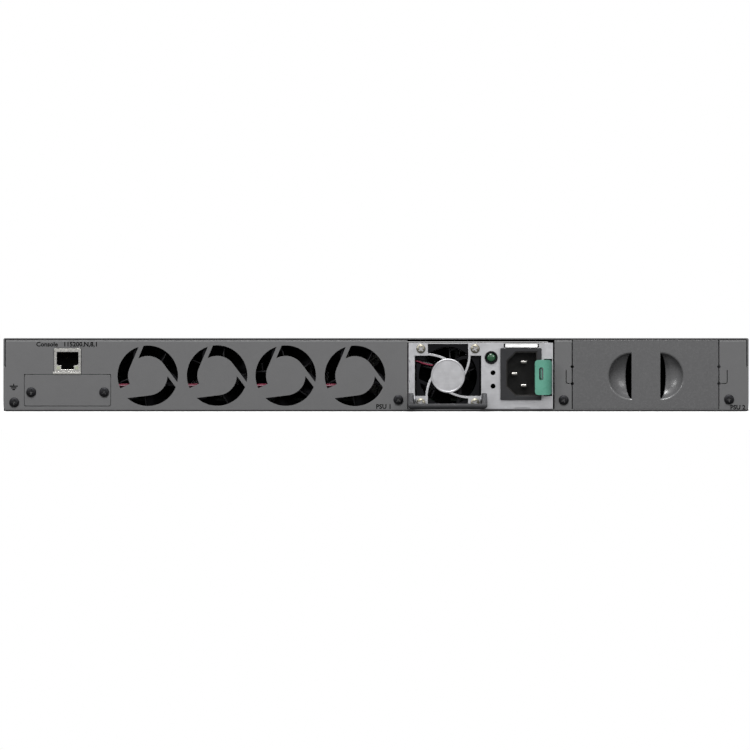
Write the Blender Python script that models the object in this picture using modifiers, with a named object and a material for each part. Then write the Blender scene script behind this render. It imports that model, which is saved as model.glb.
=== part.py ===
"""A 1U rackmount network switch with a hot-swap power supply and a blanked second supply bay.

The rear, with its fans and power supply, faces -Y, the ports face +Y and +Z is up.
The origin is on the underside, at the centre of the sheet-metal body.
Every size below is in millimetres, and the helper functions turn it into Blender's metres.
"""

from math import acos, cos, degrees, pi, radians, sin

import bmesh
import bpy
from mathutils import Matrix, Vector

MM = 0.001

# Body
WIDTH = 440.0
DEPTH = 310.0
HEIGHT = 43.2
SHEET = 0.8
GAP = 0.3
REAR = -DEPTH / 2
FRONT = DEPTH / 2
SIDE = WIDTH / 2
SKIRT_FOOT = 26.2
LID_UNDER = HEIGHT - SHEET
INNER_TOP = LID_UNDER - GAP
FLANGE = 14.0
INNER_SIDE = SIDE - 2 * SHEET - GAP
VENT_COUNT = 10
VENT_START = 92.0
VENT_PITCH = 12.0
VENT_WIDTH = 7.0

# Supply bays
BAY_WIDTH = 86.9
BAY_LEFTS = (18.5, 115.7)
BAY_FLOOR = 1.0
BAY_END = 42.0

# Chassis fans, four in a row behind the rear panel
FAN_CENTRES = [(-134.9 + 40.8 * n, 21.05) for n in range(4)]
FAN_DEPTH = 28.0
GRILLE_RADIUS = 17.85
GRILLE_HUB = 11.65
GRILLE_STRUT = 2.5
WINDOW_TURNS = (157.0, 37.0, -83.0)
WIDE_STRUT_END = 204.5

# Rear panel fittings
SCREW_HEAD = 2.9
SCREW_HEAD_DEPTH = 0.9
SCREW_SHANK = 1.25
SCREW_HOLE = 1.6
REAR_SCREWS = ((-213.6, 5.3), (13.2, 6.8), (110.8, 6.6), (208.4, 7.0))
COVER_LOW = (-207.5, 3.2)
COVER_HIGH = (-156.8, 21.6)
COVER_SCREWS = ((-203.6, 11.3), (-160.5, 11.3))
JACK_LOW = (-189.95, 22.8)
JACK_HIGH = (-174.25, 37.1)

# Power supply
PSU_LOW = (19.2, 1.4)
PSU_HIGH = (104.5, 40.4)
PSU_SHEET = 0.6
PSU_END = 30.0
PSU_FAN_CENTRE = (42.5, 20.9)
PSU_FAN_SCREW = 16.0
PSU_WINDOW = 19.6
PSU_TAB = 8.6
PSU_HUB = 10.1
SWIRL = 1.4
INLET_LOW = (73.4, 6.7)
INLET_HIGH = (97.7, 37.3)
INLET_CENTRE = (86.0, 22.1)
RECESS = (17.0, 25.0)
RECESS_CHAMFER = 5.2
PINS = {"line": (87.3, 29.1), "neutral": (87.3, 15.1), "earth": (81.8, 22.1)}
LED = (68.0, 31.7)
FACE_HOLES = ((69.1, 22.7), (69.1, 14.8))
HANDLE_AXIS = (-160.0, 6.3)
HANDLE_BAR = (-181.0, 3.0)
HANDLE_SIDES = ((18.7, 22.1), (62.3, 65.4))
HANDLE_EARS = ((22.4, 23.2), (61.5, 62.0))
HANDLE_BOSS = 4.4
HANDLE_ROD = 1.7
LATCH_Z = (9.6, 30.3)
LATCH_X = 102.9
LATCH_PIVOT = -118.0

# Blank cover
GRIP_CENTRE_Z = 20.8
GRIP_RADIUS = 14.2
GRIP_FLATS = ((150.9, -1), (167.9, 1))
GRIP_DISH = 7.0
GRIP_SLOT = (4.0, 13.5)

# Boards and front ports
BOARD_TOP = 7.6
BOARD = 1.6
PORT_COLUMN = 13.9
PORT_ROW = 13.0
PORT_BLOCKS = (113.0, 17.0)
PORT_SIZE = (11.9, 8.8)
SFP_CENTRE = -104.0
USB_CENTRE = 190.0
BUTTON = (205.0, 12.4)

model = bpy.data.collections.new("network_switch")
cutters = bpy.data.collections.new("cutters")
materials = {}

# Local X and Y of a flat outline lie along these world directions, and its thickness along the third.
PLANES = {
    "XY": Matrix.Identity(3),
    "XZ": Matrix(((1, 0, 0), (0, 0, -1), (0, 1, 0))),
    "YZ": Matrix(((0, 0, 1), (1, 0, 0), (0, 1, 0))),
}


def clear_scene():
    for old in list(bpy.data.objects):
        bpy.data.objects.remove(old, do_unlink=True)
    for collection in (model, cutters):
        bpy.context.scene.collection.children.link(collection)


def material(name, colour, roughness, metallic=0.0):
    made = bpy.data.materials.new(name)
    made.use_nodes = True
    shader = made.node_tree.nodes["Principled BSDF"]
    shader.inputs["Base Color"].default_value = (*colour, 1.0)
    shader.inputs["Roughness"].default_value = roughness
    shader.inputs["Metallic"].default_value = metallic
    made.diffuse_color = (*colour, 1.0)
    materials[name] = made


def make_materials():
    material("grey_paint", (0.135, 0.135, 0.14), 0.55)
    material("dark_screw", (0.04, 0.04, 0.042), 0.4, 1.0)
    material("zinc_steel", (0.62, 0.62, 0.64), 0.35, 1.0)
    material("black_plastic", (0.02, 0.02, 0.022), 0.45)
    material("grey_plastic", (0.05, 0.05, 0.055), 0.5)
    material("green_plastic", (0.1, 0.36, 0.26), 0.4)
    material("circuit_board", (0.02, 0.13, 0.06), 0.45)
    material("nickel", (0.7, 0.7, 0.68), 0.25, 1.0)
    material("brass_screw", (0.6, 0.56, 0.42), 0.3, 1.0)
    material("heat_sink", (0.5, 0.51, 0.53), 0.4, 1.0)
    material("red_wire", (0.3, 0.01, 0.03), 0.4)
    material("lens_green", (0.02, 0.15, 0.05), 0.2)


def new_object(name, mesh, collection, place=Matrix.Identity(4), finish=None):
    made = bpy.data.objects.new(name, mesh)
    made.matrix_world = place
    collection.objects.link(made)
    if finish:
        mesh.materials.append(materials[finish])
    return made


def cutter(made):
    """Marks a shape as one that only cuts or joins others."""
    for holder in list(made.users_collection):
        holder.objects.unlink(made)
    cutters.objects.link(made)
    made.hide_render = True
    made.display_type = "WIRE"
    return made


def box(name, low, high, finish=None):
    """A box between two corners, with its origin at its centre."""
    size = [(b - a) * MM for a, b in zip(low, high)]
    centre = [(a + b) / 2 * MM for a, b in zip(low, high)]
    mesh = bpy.data.meshes.new(name)
    shape = bmesh.new()
    bmesh.ops.create_cube(shape, size=1.0, matrix=Matrix.Diagonal((*size, 1.0)))
    shape.to_mesh(mesh)
    shape.free()
    return new_object(name, mesh, model, Matrix.Translation(centre), finish)


def rod(name, centre, radius, start, end, finish=None, sides=16, along="Y"):
    """A cylinder along X or Y, from start to end, round a centre given in the other two axes."""
    mesh = bpy.data.meshes.new(name)
    shape = bmesh.new()
    bmesh.ops.create_cone(shape, cap_ends=True, segments=sides, radius1=radius * MM,
                          radius2=radius * MM, depth=abs(end - start) * MM)
    shape.to_mesh(mesh)
    shape.free()
    middle = (start + end) / 2
    if along == "Y":
        spot, turn = (centre[0], middle, centre[1]), Matrix.Rotation(pi / 2, 4, "X")
    else:
        spot, turn = (middle, centre[0], centre[1]), Matrix.Rotation(pi / 2, 4, "Y")
    place = Matrix.Translation([v * MM for v in spot]) @ turn
    made = new_object(name, mesh, model, place, finish)
    mesh.shade_smooth()
    mesh.set_sharp_from_angle(angle=radians(40))
    return made


def ball(name, centre, radii, finish=None, rings=8):
    mesh = bpy.data.meshes.new(name)
    shape = bmesh.new()
    bmesh.ops.create_uvsphere(shape, u_segments=2 * rings, v_segments=rings, radius=1.0,
                              matrix=Matrix.Diagonal([r * MM for r in radii] + [1.0]))
    shape.to_mesh(mesh)
    shape.free()
    mesh.shade_smooth()
    return new_object(name, mesh, model, Matrix.Translation([v * MM for v in centre]), finish)


def outline(name, points, plane, start, end, finish=None):
    """A flat outline in the given plane, thick from start to end along the third axis."""
    curve = bpy.data.curves.new(name, "CURVE")
    curve.dimensions = "2D"
    curve.fill_mode = "BOTH"
    curve.extrude = abs(end - start) / 2 * MM
    spline = curve.splines.new("POLY")
    spline.points.add(len(points) - 1)
    for point, (u, v) in zip(spline.points, points):
        point.co = (u * MM, v * MM, 0.0, 1.0)
    spline.use_cyclic_u = True
    turn = PLANES[plane]
    middle = turn @ Vector((0.0, 0.0, 1.0))
    place = turn.to_4x4()
    place.translation = Vector([abs(v) for v in middle]) * (start + end) / 2 * MM
    drawn = new_object(name + "_outline", curve, model, place)
    return solid_from_curve(drawn, name, finish)


def solid_from_curve(drawn, name, finish):
    """Turns a curve object into a mesh object whose caps are welded on."""
    bpy.context.view_layer.update()
    seen = drawn.evaluated_get(bpy.context.evaluated_depsgraph_get())
    mesh = bpy.data.meshes.new_from_object(seen)
    shape = bmesh.new()
    shape.from_mesh(mesh)
    bmesh.ops.remove_doubles(shape, verts=shape.verts, dist=0.00001)
    bmesh.ops.recalc_face_normals(shape, faces=shape.faces)
    shape.to_mesh(mesh)
    shape.free()
    mesh.name = name
    place = drawn.matrix_world.copy()
    bpy.data.objects.remove(drawn, do_unlink=True)
    return new_object(name, mesh, model, place, finish)


def sheet(name, points, plane, start, end, thickness, finish, closed=False):
    """Folded sheet metal: the middle line of its section, drawn out and thickened."""
    mesh = bpy.data.meshes.new(name)
    shape = bmesh.new()
    rows = [[shape.verts.new((u * MM, v * MM, w * MM)) for u, v in points] for w in (start, end)]
    last = len(points) if closed else len(points) - 1
    for n in range(last):
        m = (n + 1) % len(points)
        shape.faces.new((rows[0][n], rows[0][m], rows[1][m], rows[1][n]))
    shape.to_mesh(mesh)
    shape.free()
    turn = PLANES[plane].to_4x4()
    made = new_object(name, mesh, model, turn, finish)
    wall = made.modifiers.new("sheet", "SOLIDIFY")
    wall.thickness = thickness * MM
    wall.offset = 0.0
    wall.use_even_offset = True
    return made


def combine(target, others, operation):
    for other in others:
        cutter(other)
        joined = target.modifiers.new(other.name, "BOOLEAN")
        joined.operation = operation
        joined.object = other
    return target


def cut(target, *others):
    return combine(target, others, "DIFFERENCE")


def join(target, *others):
    return combine(target, others, "UNION")


def arc(radius, start, end, steps, centre=(0.0, 0.0)):
    """Points along an arc, from one angle to another in degrees."""
    turns = [radians(start + (end - start) * n / steps) for n in range(steps + 1)]
    return [(centre[0] + radius * cos(t), centre[1] + radius * sin(t)) for t in turns]


def moved(points, shift):
    return [(u + shift[0], v + shift[1]) for u, v in points]


def between(low, high, start, end):
    """The corners of a box given in X and Z, and its reach along Y."""
    return (low[0], start, low[1]), (high[0], end, high[1])


def grown(low, high, by):
    return (low[0] - by, low[1] - by), (high[0] + by, high[1] + by)


# ---- Sheet-metal body ----

def make_tray():
    half = SHEET / 2
    upper = SIDE - SHEET - GAP - half
    lower = SIDE - half
    right = [(lower, half), (lower, 24.2), (upper, 25.2), (upper, INNER_TOP)]
    left = [(-x, z) for x, z in reversed(right)]
    start, end = -(FRONT - SHEET - GAP), -(REAR + SHEET + GAP)
    tray = sheet("base_tray", left + right, "XZ", start, end, SHEET, "grey_paint")
    for n, edge in enumerate((REAR, FRONT)):
        inward = edge - (FLANGE + 1.0) * (1 if edge > 0 else -1)
        low, high = min(edge * 1.1, inward), max(edge * 1.1, inward)
        cut(tray, box(f"tray_end_{n}", (-SIDE + SHEET + 0.1, low, -2), (SIDE - SHEET - 0.1, high, 1.6)))
    for n, (x, y) in enumerate(((-190, 130), (0, 130), (190, 130), (-190, -90), (-20, -90), (-20, 40))):
        post = rod(f"standoff_{n}", (0, 0), 3.0, half, BOARD_TOP - BOARD - GAP, sides=10)
        post.matrix_world = Matrix.Translation((x * MM, y * MM, (BOARD_TOP - BOARD - GAP + half) / 2 * MM))
        join(tray, post)
    for side in (-1, 1):
        for n in range(VENT_COUNT):
            y = VENT_START - VENT_PITCH * n
            slot = box(f"side_vent_{side}_{n}", (side * SIDE - 3, y, 6), (side * SIDE + 3, y + VENT_WIDTH, 20))
            cut(tray, slot)
        for n, (y, z) in enumerate(((146, 8), (146, 19), (126, 8), (126, 19))):
            hole = rod(f"ear_hole_{side}_{n}", (y, z), 2.0, side * SIDE - 3, side * SIDE + 3,
                       sides=12, along="X")
            cut(tray, hole)
    return tray


def end_panel(name, edge):
    """A panel across one end, with a flange folded inward at its top and bottom."""
    inward = -1 if edge > 0 else 1
    face = edge + inward * SHEET / 2
    tip = edge + inward * FLANGE
    top = INNER_TOP - SHEET / 2
    section = [(tip, top), (face, top), (face, SHEET / 2), (tip, SHEET / 2)]
    panel = sheet(name, section, "YZ", -SIDE, SIDE, SHEET, "grey_paint")
    inner = edge + inward * (SHEET + 0.2)
    far = edge + inward * (FLANGE + 5)
    for side in (-1, 1):
        near, out = side * (INNER_SIDE - GAP), side * (SIDE + 5)
        low, high = min(near, out), max(near, out)
        cut(panel, box(f"{name}_flange_end_{side}", (low, min(inner, far), -5), (high, max(inner, far), 50)))
        near = side * (SIDE - SHEET - GAP)
        low, high = min(near, out), max(near, out)
        cut(panel, box(f"{name}_skirt_notch_{side}", (low, edge - 5, SKIRT_FOOT - GAP), (high, edge + 5, 50)))
    return panel


def grille_window(turn, following, cut_short=None):
    """One air window between two struts that leave the hub along its tangents.

    turn is the angle where the strut at the window's end touches the hub, and following the same
    for the strut at its start. cut_short ends the window at an angle, beside a wider strut.
    """
    far = degrees(acos(GRILLE_HUB / GRILLE_RADIUS))
    inner = GRILLE_HUB - GRILLE_STRUT
    wide = degrees(acos(inner / GRILLE_RADIUS))
    near = degrees(acos(inner / GRILLE_HUB))
    start = following - far
    rim_end = cut_short if cut_short else turn - wide
    hub_end = cut_short if cut_short else turn - near
    return arc(GRILLE_RADIUS, start, rim_end, 9) + arc(GRILLE_HUB, hub_end, following, 6)


def make_rear_panel():
    panel = end_panel("rear_panel", REAR)
    for n, left in enumerate(BAY_LEFTS):
        opening = box(f"bay_opening_{n + 1}", (left, REAR - 5, BAY_FLOOR), (left + BAY_WIDTH, REAR + 20, 50))
        cut(panel, opening)
    first, second, third = WINDOW_TURNS
    windows = (grille_window(first, second), grille_window(second, third),
               grille_window(None, first, WIDE_STRUT_END))
    for n, centre in enumerate(FAN_CENTRES):
        for k, window in enumerate(windows):
            cut(panel, outline(f"grille_{n + 1}_{k + 1}", moved(window, centre), "XZ", REAR - 3, REAR + 3))
    pocket = grown(COVER_LOW, COVER_HIGH, 1.1)
    recess = grown(COVER_LOW, COVER_HIGH, GAP)
    join(panel, box("cover_pocket", *between(*pocket, REAR + 0.3, REAR + 2.2)))
    cut(panel, box("cover_recess", *between(*recess, REAR - 3, REAR + 1.1)))
    cut(panel, box("module_slot", *between((-198, 5.5), (-166, 19.5), REAR - 3, REAR + 5)))
    jack_low = (JACK_LOW[0] - GAP, COVER_HIGH[1] + 0.1)
    jack_high = (JACK_HIGH[0] + GAP, JACK_HIGH[1] + GAP)
    cut(panel, box("jack_cutout", *between(jack_low, jack_high, REAR - 5, REAR + 5)))
    for n, spot in enumerate(REAR_SCREWS + COVER_SCREWS):
        cut(panel, rod(f"screw_hole_{n}", spot, SCREW_HOLE, REAR - 5, REAR + 5, sides=10))
    return panel


def make_front_panel():
    panel = end_panel("front_panel", FRONT)
    for n, x in enumerate(PORT_BLOCKS):
        low, high = port_block_reach(x)
        cut(panel, box(f"port_cutout_{n}", *between(*grown(low, high, GAP), FRONT - 5, FRONT + 5)))
    cut(panel, box("sfp_cutout", *between(*grown(*sfp_reach(), GAP), FRONT - 5, FRONT + 5)))
    cut(panel, box("usb_cutout", *between(*grown(*usb_reach(), GAP), FRONT - 5, FRONT + 5)))
    cut(panel, rod("button_hole", BUTTON, 2.0, FRONT - 5, FRONT + 5, sides=16))
    for n in range(3):
        cut(panel, rod(f"light_hole_{n}", (BUTTON[0], 20.0 + 5.5 * n), 1.2, FRONT - 5, FRONT + 5, sides=12))
    return panel


def make_lid():
    half = SHEET / 2
    x, z = SIDE - half, HEIGHT - half
    section = [(-x, SKIRT_FOOT), (-x, z), (x, z), (x, SKIRT_FOOT)]
    return sheet("top_cover", section, "XZ", REAR, FRONT, SHEET, "grey_paint")


def make_dividers():
    """Walls that guide the supplies, each folded from one sheet."""
    foot = SHEET + GAP + SHEET / 2
    start = -BAY_END
    end = -(REAR + FLANGE + 1.0)
    half = SHEET / 2 + GAP
    first, second = BAY_LEFTS
    left = first - half
    middle = (first + BAY_WIDTH + half, second - half)
    right = second + BAY_WIDTH + half
    sections = {
        "bay_wall_left": [(left - 8, foot), (left, foot), (left, INNER_TOP)],
        "bay_wall_middle": [(middle[0], INNER_TOP), (middle[0], foot), (middle[1], foot), (middle[1], INNER_TOP)],
        "bay_wall_right": [(right, INNER_TOP), (right, foot), (right + 8, foot)],
    }
    for name, section in sections.items():
        sheet(name, section, "XZ", start, end, SHEET, "zinc_steel")


# ---- Fans ----

def fan_frame(name, centre, rear, size, bore, waist, hub, slot_turn, strut_turns):
    """A square fan housing with a round waist, and its motor on three arms at the rear end."""
    flange = 4.0
    half = size / 2
    low, high = (centre[0] - half, centre[1] - half), (centre[0] + half, centre[1] + half)
    frame = box(name, *between(low, high, rear, rear + FAN_DEPTH), "black_plastic")
    trench = rod(name + "_trench", centre, size, rear + flange, rear + FAN_DEPTH - flange, sides=24)
    cut(trench, rod(name + "_waist", centre, waist, rear, rear + FAN_DEPTH, sides=20))
    cut(frame, trench)
    cut(frame, rod(name + "_bore", centre, bore, rear - 5, rear + FAN_DEPTH + 5, sides=20))
    for part, near, far, start, end in (("a", bore - 1, size, -1, flange + 0.3),
                                        ("b", waist + 0.1, size, FAN_DEPTH - flange - 0.3, FAN_DEPTH + 1)):
        slot = box(f"{name}_lead_slot_{part}", (near, start, -1.3), (far, end, 1.3))
        slot.matrix_world = radial_place(centre, rear, slot_turn) @ slot.matrix_world
        cut(frame, slot)
    motor = rod(name + "_motor_plate", centre, hub, rear, rear + 2.2, sides=16)
    core = rod(name + "_motor_core", centre, hub - 3.0, rear + 1, rear + 18, sides=12)
    join(motor, core)
    cut(motor, rod(name + "_bearing", centre, 1.4, rear + 3, rear + 20, sides=12))
    for n, turn in enumerate(strut_turns):
        arm = box(f"{name}_arm_{n}", (hub - 2, 0, -1.1), (bore + 0.6, 2.2, 1.1))
        arm.matrix_world = radial_place(centre, rear, turn) @ arm.matrix_world
        join(motor, arm)
    join(frame, motor)
    return frame


def radial_place(centre, rear, turn):
    """Puts a shape drawn along +X at an angle round a fan's axis, seen from the rear."""
    spot = Matrix.Translation((centre[0] * MM, rear * MM, centre[1] * MM))
    return spot @ Matrix.Rotation(-radians(turn), 4, "Y")


def fan_rotor(name, centre, rear, tip, hub, blades, turn):
    """The cup that carries the magnet, its shaft and the blades, with its origin on the axis."""
    start = rear + 3.6
    end = rear + FAN_DEPTH - 1.5
    spot = (centre[0] * MM, (start + end) / 2 * MM, centre[1] * MM)
    mesh = bpy.data.meshes.new(name)
    cup = bmesh.new()
    bmesh.ops.create_cone(cup, cap_ends=True, segments=18, radius1=hub * MM, radius2=hub * MM,
                          depth=(end - start) * MM)
    cup.to_mesh(mesh)
    cup.free()
    mesh.shade_smooth()
    mesh.set_sharp_from_angle(angle=radians(40))
    place = Matrix.Translation(spot) @ Matrix.Rotation(pi / 2, 4, "X")
    rotor = new_object(name, mesh, model, place, "black_plastic")
    cut(rotor, rod(name + "_hollow", centre, hub - 1.3, start - 3, rear + 20, sides=18))
    join(rotor, rod(name + "_shaft", centre, 1.2, rear + 4, end - 1, sides=8))
    join(rotor, fan_blades(name + "_blades", centre, start + 1, end - 1, hub - 0.6, tip, blades, turn))
    return rotor


def fan_blades(name, centre, start, end, root, tip, count, turn):
    """Swept blades, each a bent sheet between the hub and the tip."""
    mesh = bpy.data.meshes.new(name)
    shape = bmesh.new()
    rows, steps = 2, 3
    for n in range(count):
        grid = []
        for i in range(rows):
            radius = root + (tip - root) * i / (rows - 1)
            line = []
            for k in range(steps + 1):
                s = k / steps
                angle = radians(turn + 360 * n / count + 46 * s - 14 * sin(pi * s) + 6 * i)
                spot = (radius * cos(angle), start + (end - start) * s, radius * sin(angle))
                line.append(shape.verts.new([v * MM for v in spot]))
            grid.append(line)
        for i in range(rows - 1):
            for k in range(steps):
                shape.faces.new((grid[i][k], grid[i][k + 1], grid[i + 1][k + 1], grid[i + 1][k]))
    shape.to_mesh(mesh)
    shape.free()
    made = new_object(name, mesh, model, Matrix.Translation((centre[0] * MM, 0, centre[1] * MM)))
    wall = made.modifiers.new("thickness", "SOLIDIFY")
    wall.thickness = 0.9 * MM
    wall.offset = 0.0
    return made


def smooth_route(points, per_span):
    """Points along a Catmull-Rom curve through the route's own points."""
    ends = [2 * points[0] - points[1], *points, 2 * points[-1] - points[-2]]
    route = []
    for a, b, c, d in zip(ends, ends[1:], ends[2:], ends[3:]):
        for n in range(per_span):
            t = n / per_span
            route.append(0.5 * (2 * b + (c - a) * t + (2 * a - 5 * b + 4 * c - d) * t * t
                                + (3 * b - a - 3 * c + d) * t ** 3))
    return route + [points[-1]]


def fan_leads(name, centre, rear, hub, bore, waist, hub_turn, slot_turn, tail):
    """A fan's bundle of wires, from its motor through the slot and along the waist to its plug."""
    def polar(radius, turn, y):
        angle = radians(turn)
        return Vector((centre[0] + radius * cos(angle), y, centre[1] + radius * sin(angle)))

    outside = waist + 1.2
    middle_turn = slot_turn + (hub_turn - slot_turn) * 0.1
    points = [polar(hub + 1.1, hub_turn, rear + 1.2), polar(bore - 1.4, middle_turn, rear + 1.2),
              polar(outside - 0.9, slot_turn, rear + 1.4), polar(outside, slot_turn, rear + 2.9),
              polar(outside, slot_turn, rear + 9), polar(outside, slot_turn, rear + 19),
              polar(outside, slot_turn, rear + FAN_DEPTH)]
    points += [Vector(spot) for spot in tail]
    route = smooth_route(points, 2)
    curve = bpy.data.curves.new(name, "CURVE")
    curve.dimensions = "3D"
    curve.bevel_depth = 0.85 * MM
    curve.bevel_resolution = 2
    curve.use_fill_caps = True
    spline = curve.splines.new("POLY")
    spline.points.add(len(route) - 1)
    for point, spot in zip(spline.points, route):
        point.co = (*(spot * MM), 1.0)
    drawn = new_object(name + "_route", curve, model)
    return solid_from_curve(drawn, name, "red_wire")


def make_chassis_fans():
    rear = REAR + SHEET + GAP
    for n, (x, z) in enumerate(FAN_CENTRES, start=1):
        fan_frame(f"fan_frame_{n}", (x, z), rear, 39.8, 18.4, 19.0, 11.3, 203, (119, 239, 359))
        fan_rotor(f"fan_rotor_{n}", (x, z), rear, 17.8, 11.0, 5, 20 + 25 * n)
        tail = ((x - 17.5, rear + 33, z - 9.5), (x - 16, rear + 38.5, z - 11.8))
        fan_leads(f"fan_leads_{n}", (x, z), rear, 11.3, 18.4, 19.0, 216, 203, tail)


# ---- Rear panel fittings ----

def screw(name, spot, face, finish="dark_screw", length=4.2, head=SCREW_HEAD):
    """A low-headed screw whose head rests just off the face it holds."""
    made = rod(name, spot, head, face - GAP - SCREW_HEAD_DEPTH, face - GAP, finish, sides=12)
    join(made, rod(name + "_shank", spot, SCREW_SHANK, face - GAP - 0.4, face - GAP + length, sides=8))
    return made


def make_rear_fittings():
    for n, spot in enumerate(REAR_SCREWS, start=1):
        screw(f"rear_screw_{n}", spot, REAR)
    cover = box("module_cover", *between(COVER_LOW, COVER_HIGH, REAR, REAR + SHEET), "grey_paint")
    for n, spot in enumerate(COVER_SCREWS):
        cut(cover, rod(f"cover_hole_{n}", spot, SCREW_HOLE, REAR - 5, REAR + 5, sides=10))
    for label, spot in zip(("left", "right"), COVER_SCREWS):
        screw(f"module_cover_screw_{label}", spot, REAR)
    jack = box("console_jack", *between(JACK_LOW, JACK_HIGH, REAR - 0.4, REAR + 21), "nickel")
    lip_low = (JACK_LOW[0], COVER_HIGH[1] + 0.4)
    lip_high = (JACK_HIGH[0], JACK_LOW[1] + 1.0)
    join(jack, box("jack_lip", *between(lip_low, lip_high, REAR - 0.35, REAR + 0.5)))
    centre = (JACK_LOW[0] + JACK_HIGH[0]) / 2
    cut(jack, box("jack_socket", *between((centre - 6.0, 27.0), (centre + 6.0, 35.6), REAR - 5, REAR + 15)))
    cut(jack, box("jack_notch", *between((centre - 3.0, 24.4), (centre + 3.0, 28.0), REAR - 5, REAR + 12)))
    board_low, board_high = (-206.0, 20.9), (-158.0, 22.5)
    box("console_board", *between(board_low, board_high, REAR + 2.6, REAR + 35), "circuit_board")


# ---- Power supply ----

def make_psu_case():
    low, high = between(PSU_LOW, PSU_HIGH, REAR + 0.9, PSU_END)
    case = box("psu_case", low, high, "zinc_steel")
    shape = bmesh.new()
    shape.from_mesh(case.data)
    mouth = [face for face in shape.faces if face.normal.y < -0.9]
    bmesh.ops.delete(shape, geom=mouth, context="FACES")
    shape.to_mesh(case.data)
    shape.free()
    wall = case.modifiers.new("sheet", "SOLIDIFY")
    wall.thickness = PSU_SHEET * MM
    wall.offset = -1.0
    wall.use_even_offset = True
    cut(case, box("edge_slot", (32, PSU_END - 5, 4.4), (92, PSU_END + 5, 9.4)))
    for n in range(12):
        x = 26 + 6.4 * n
        cut(case, box(f"psu_vent_{n}", (x, PSU_END - 5, 14), (x + 3.2, PSU_END + 5, 36)))
    return case


def swirl_strut(turn):
    """A thin curved arm from a corner tab to the hub, which it meets along a tangent."""
    start, bend, end = Vector((-12.4, 12.7)), Vector((-6.4, 12.6)), Vector((-0.5, 9.4))
    steps = 6
    spine = [(1 - t) ** 2 * start + 2 * t * (1 - t) * bend + t * t * end for t in
             [n / steps for n in range(steps + 1)]]
    edges = ([], [])
    for n, spot in enumerate(spine):
        along = spine[min(n + 1, steps)] - spine[max(n - 1, 0)]
        normal = Vector((-along.y, along.x)).normalized() * SWIRL / 2
        edges[0].append(spot + normal)
        edges[1].append(spot - normal)
    around = Matrix.Rotation(radians(turn), 2)
    return [tuple(around @ spot) for spot in edges[0] + edges[1][::-1]]


def make_psu_face():
    front, back = REAR, REAR + PSU_SHEET
    face = box("psu_face", *between(PSU_LOW, PSU_HIGH, front, back), "zinc_steel")
    cx, cz = PSU_FAN_CENTRE
    window_low = (cx - PSU_WINDOW, PSU_LOW[1] + 0.8)
    window_high = (cx + PSU_WINDOW, PSU_HIGH[1] + 5)
    cut(face, box("fan_window", *between(window_low, window_high, front - 5, back + 5)))
    deep = (front + 0.02, back - 0.02)
    grille = rod("grille_hub", PSU_FAN_CENTRE, PSU_HUB, *deep, sides=24)
    for n in range(4):
        join(grille, outline(f"swirl_{n}", moved(swirl_strut(-90 * n), PSU_FAN_CENTRE), "XZ", *deep))
    join(face, grille)
    reach = PSU_WINDOW + 0.6
    top = PSU_HIGH[1] - 0.02
    for n, (sx, sz) in enumerate(((-1, -1), (1, -1), (-1, 1), (1, 1))):
        near_x, far_x = cx + sx * (PSU_WINDOW - PSU_TAB), cx + sx * reach
        near_z, far_z = cz + sz * (PSU_WINDOW - PSU_TAB), min(cz + sz * reach, top)
        low = (min(near_x, far_x), max(min(near_z, far_z), PSU_LOW[1] + 0.1))
        high = (max(near_x, far_x), max(near_z, far_z))
        join(face, box(f"corner_tab_{n}", *between(low, high, *deep)))
        spot = (cx + sx * PSU_FAN_SCREW, cz + sz * PSU_FAN_SCREW)
        cut(face, rod(f"fan_screw_hole_{n}", spot, SCREW_HOLE, front - 5, back + 5, sides=10))
    cut(face, rod("led_hole", LED, 3.5, front - 5, back + 5, sides=20))
    for n, spot in enumerate(FACE_HOLES):
        cut(face, rod(f"face_hole_{n}", spot, 1.45, front - 5, back + 5, sides=12))
    body_low, body_high = inlet_body()
    cut(face, box("inlet_cutout", *between(*grown(body_low, body_high, GAP), front - 5, back + 5)))
    cut(face, box("latch_cutout", *between((99.2, LATCH_Z[0] - 0.6), (110, LATCH_Z[1] + 0.6), front - 5, back + 5)))
    for n, (inner, outer) in enumerate(HANDLE_EARS):
        y, z = HANDLE_AXIS
        ear = outline(f"handle_ear_{n}", [(front + 0.3, z - 3.2), (y, z - 3.2)]
                      + arc(3.2, 270, 90, 6, (y, z))[1:-1] + [(y, z + 3.2), (front + 0.3, z + 3.2)],
                      "YZ", inner, outer)
        cut(ear, rod(f"ear_hole_{n}", HANDLE_AXIS, 1.5, inner - 3, outer + 3, sides=12, along="X"))
        join(face, ear)
    return face


def inlet_body():
    return (INLET_LOW[0] + 1.8, INLET_LOW[1] + 1.8), (INLET_HIGH[0] - 1.8, INLET_HIGH[1] - 1.8)


def make_inlet():
    inlet = box("psu_inlet", *between(INLET_LOW, INLET_HIGH, REAR - 2.2, REAR - GAP), "grey_plastic")
    body_low, body_high = inlet_body()
    join(inlet, box("inlet_body", *between(body_low, body_high, REAR - 1.2, REAR + 20)))
    half_x, half_z = RECESS[0] / 2, RECESS[1] / 2
    c = RECESS_CHAMFER
    shape = [(half_x, -half_z), (half_x, half_z), (-half_x + c, half_z), (-half_x, half_z - c),
             (-half_x, -half_z + c), (-half_x + c, -half_z)]
    cut(inlet, outline("inlet_recess", moved(shape, INLET_CENTRE), "XZ", REAR - 8, REAR + 14.5))
    for label, (x, z) in PINS.items():
        long, thin = 2.0, 1.0
        hole_low, hole_high = grown((x - long, z - thin), (x + long, z + thin), GAP)
        cut(inlet, box(f"pin_hole_{label}", *between(hole_low, hole_high, REAR + 8, REAR + 25)))
        blade = between((x - long, z - thin), (x + long, z + thin), REAR + 1.5, REAR + 25.5)
        box(f"psu_pin_{label}", *blade, "nickel")
    return inlet


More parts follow.
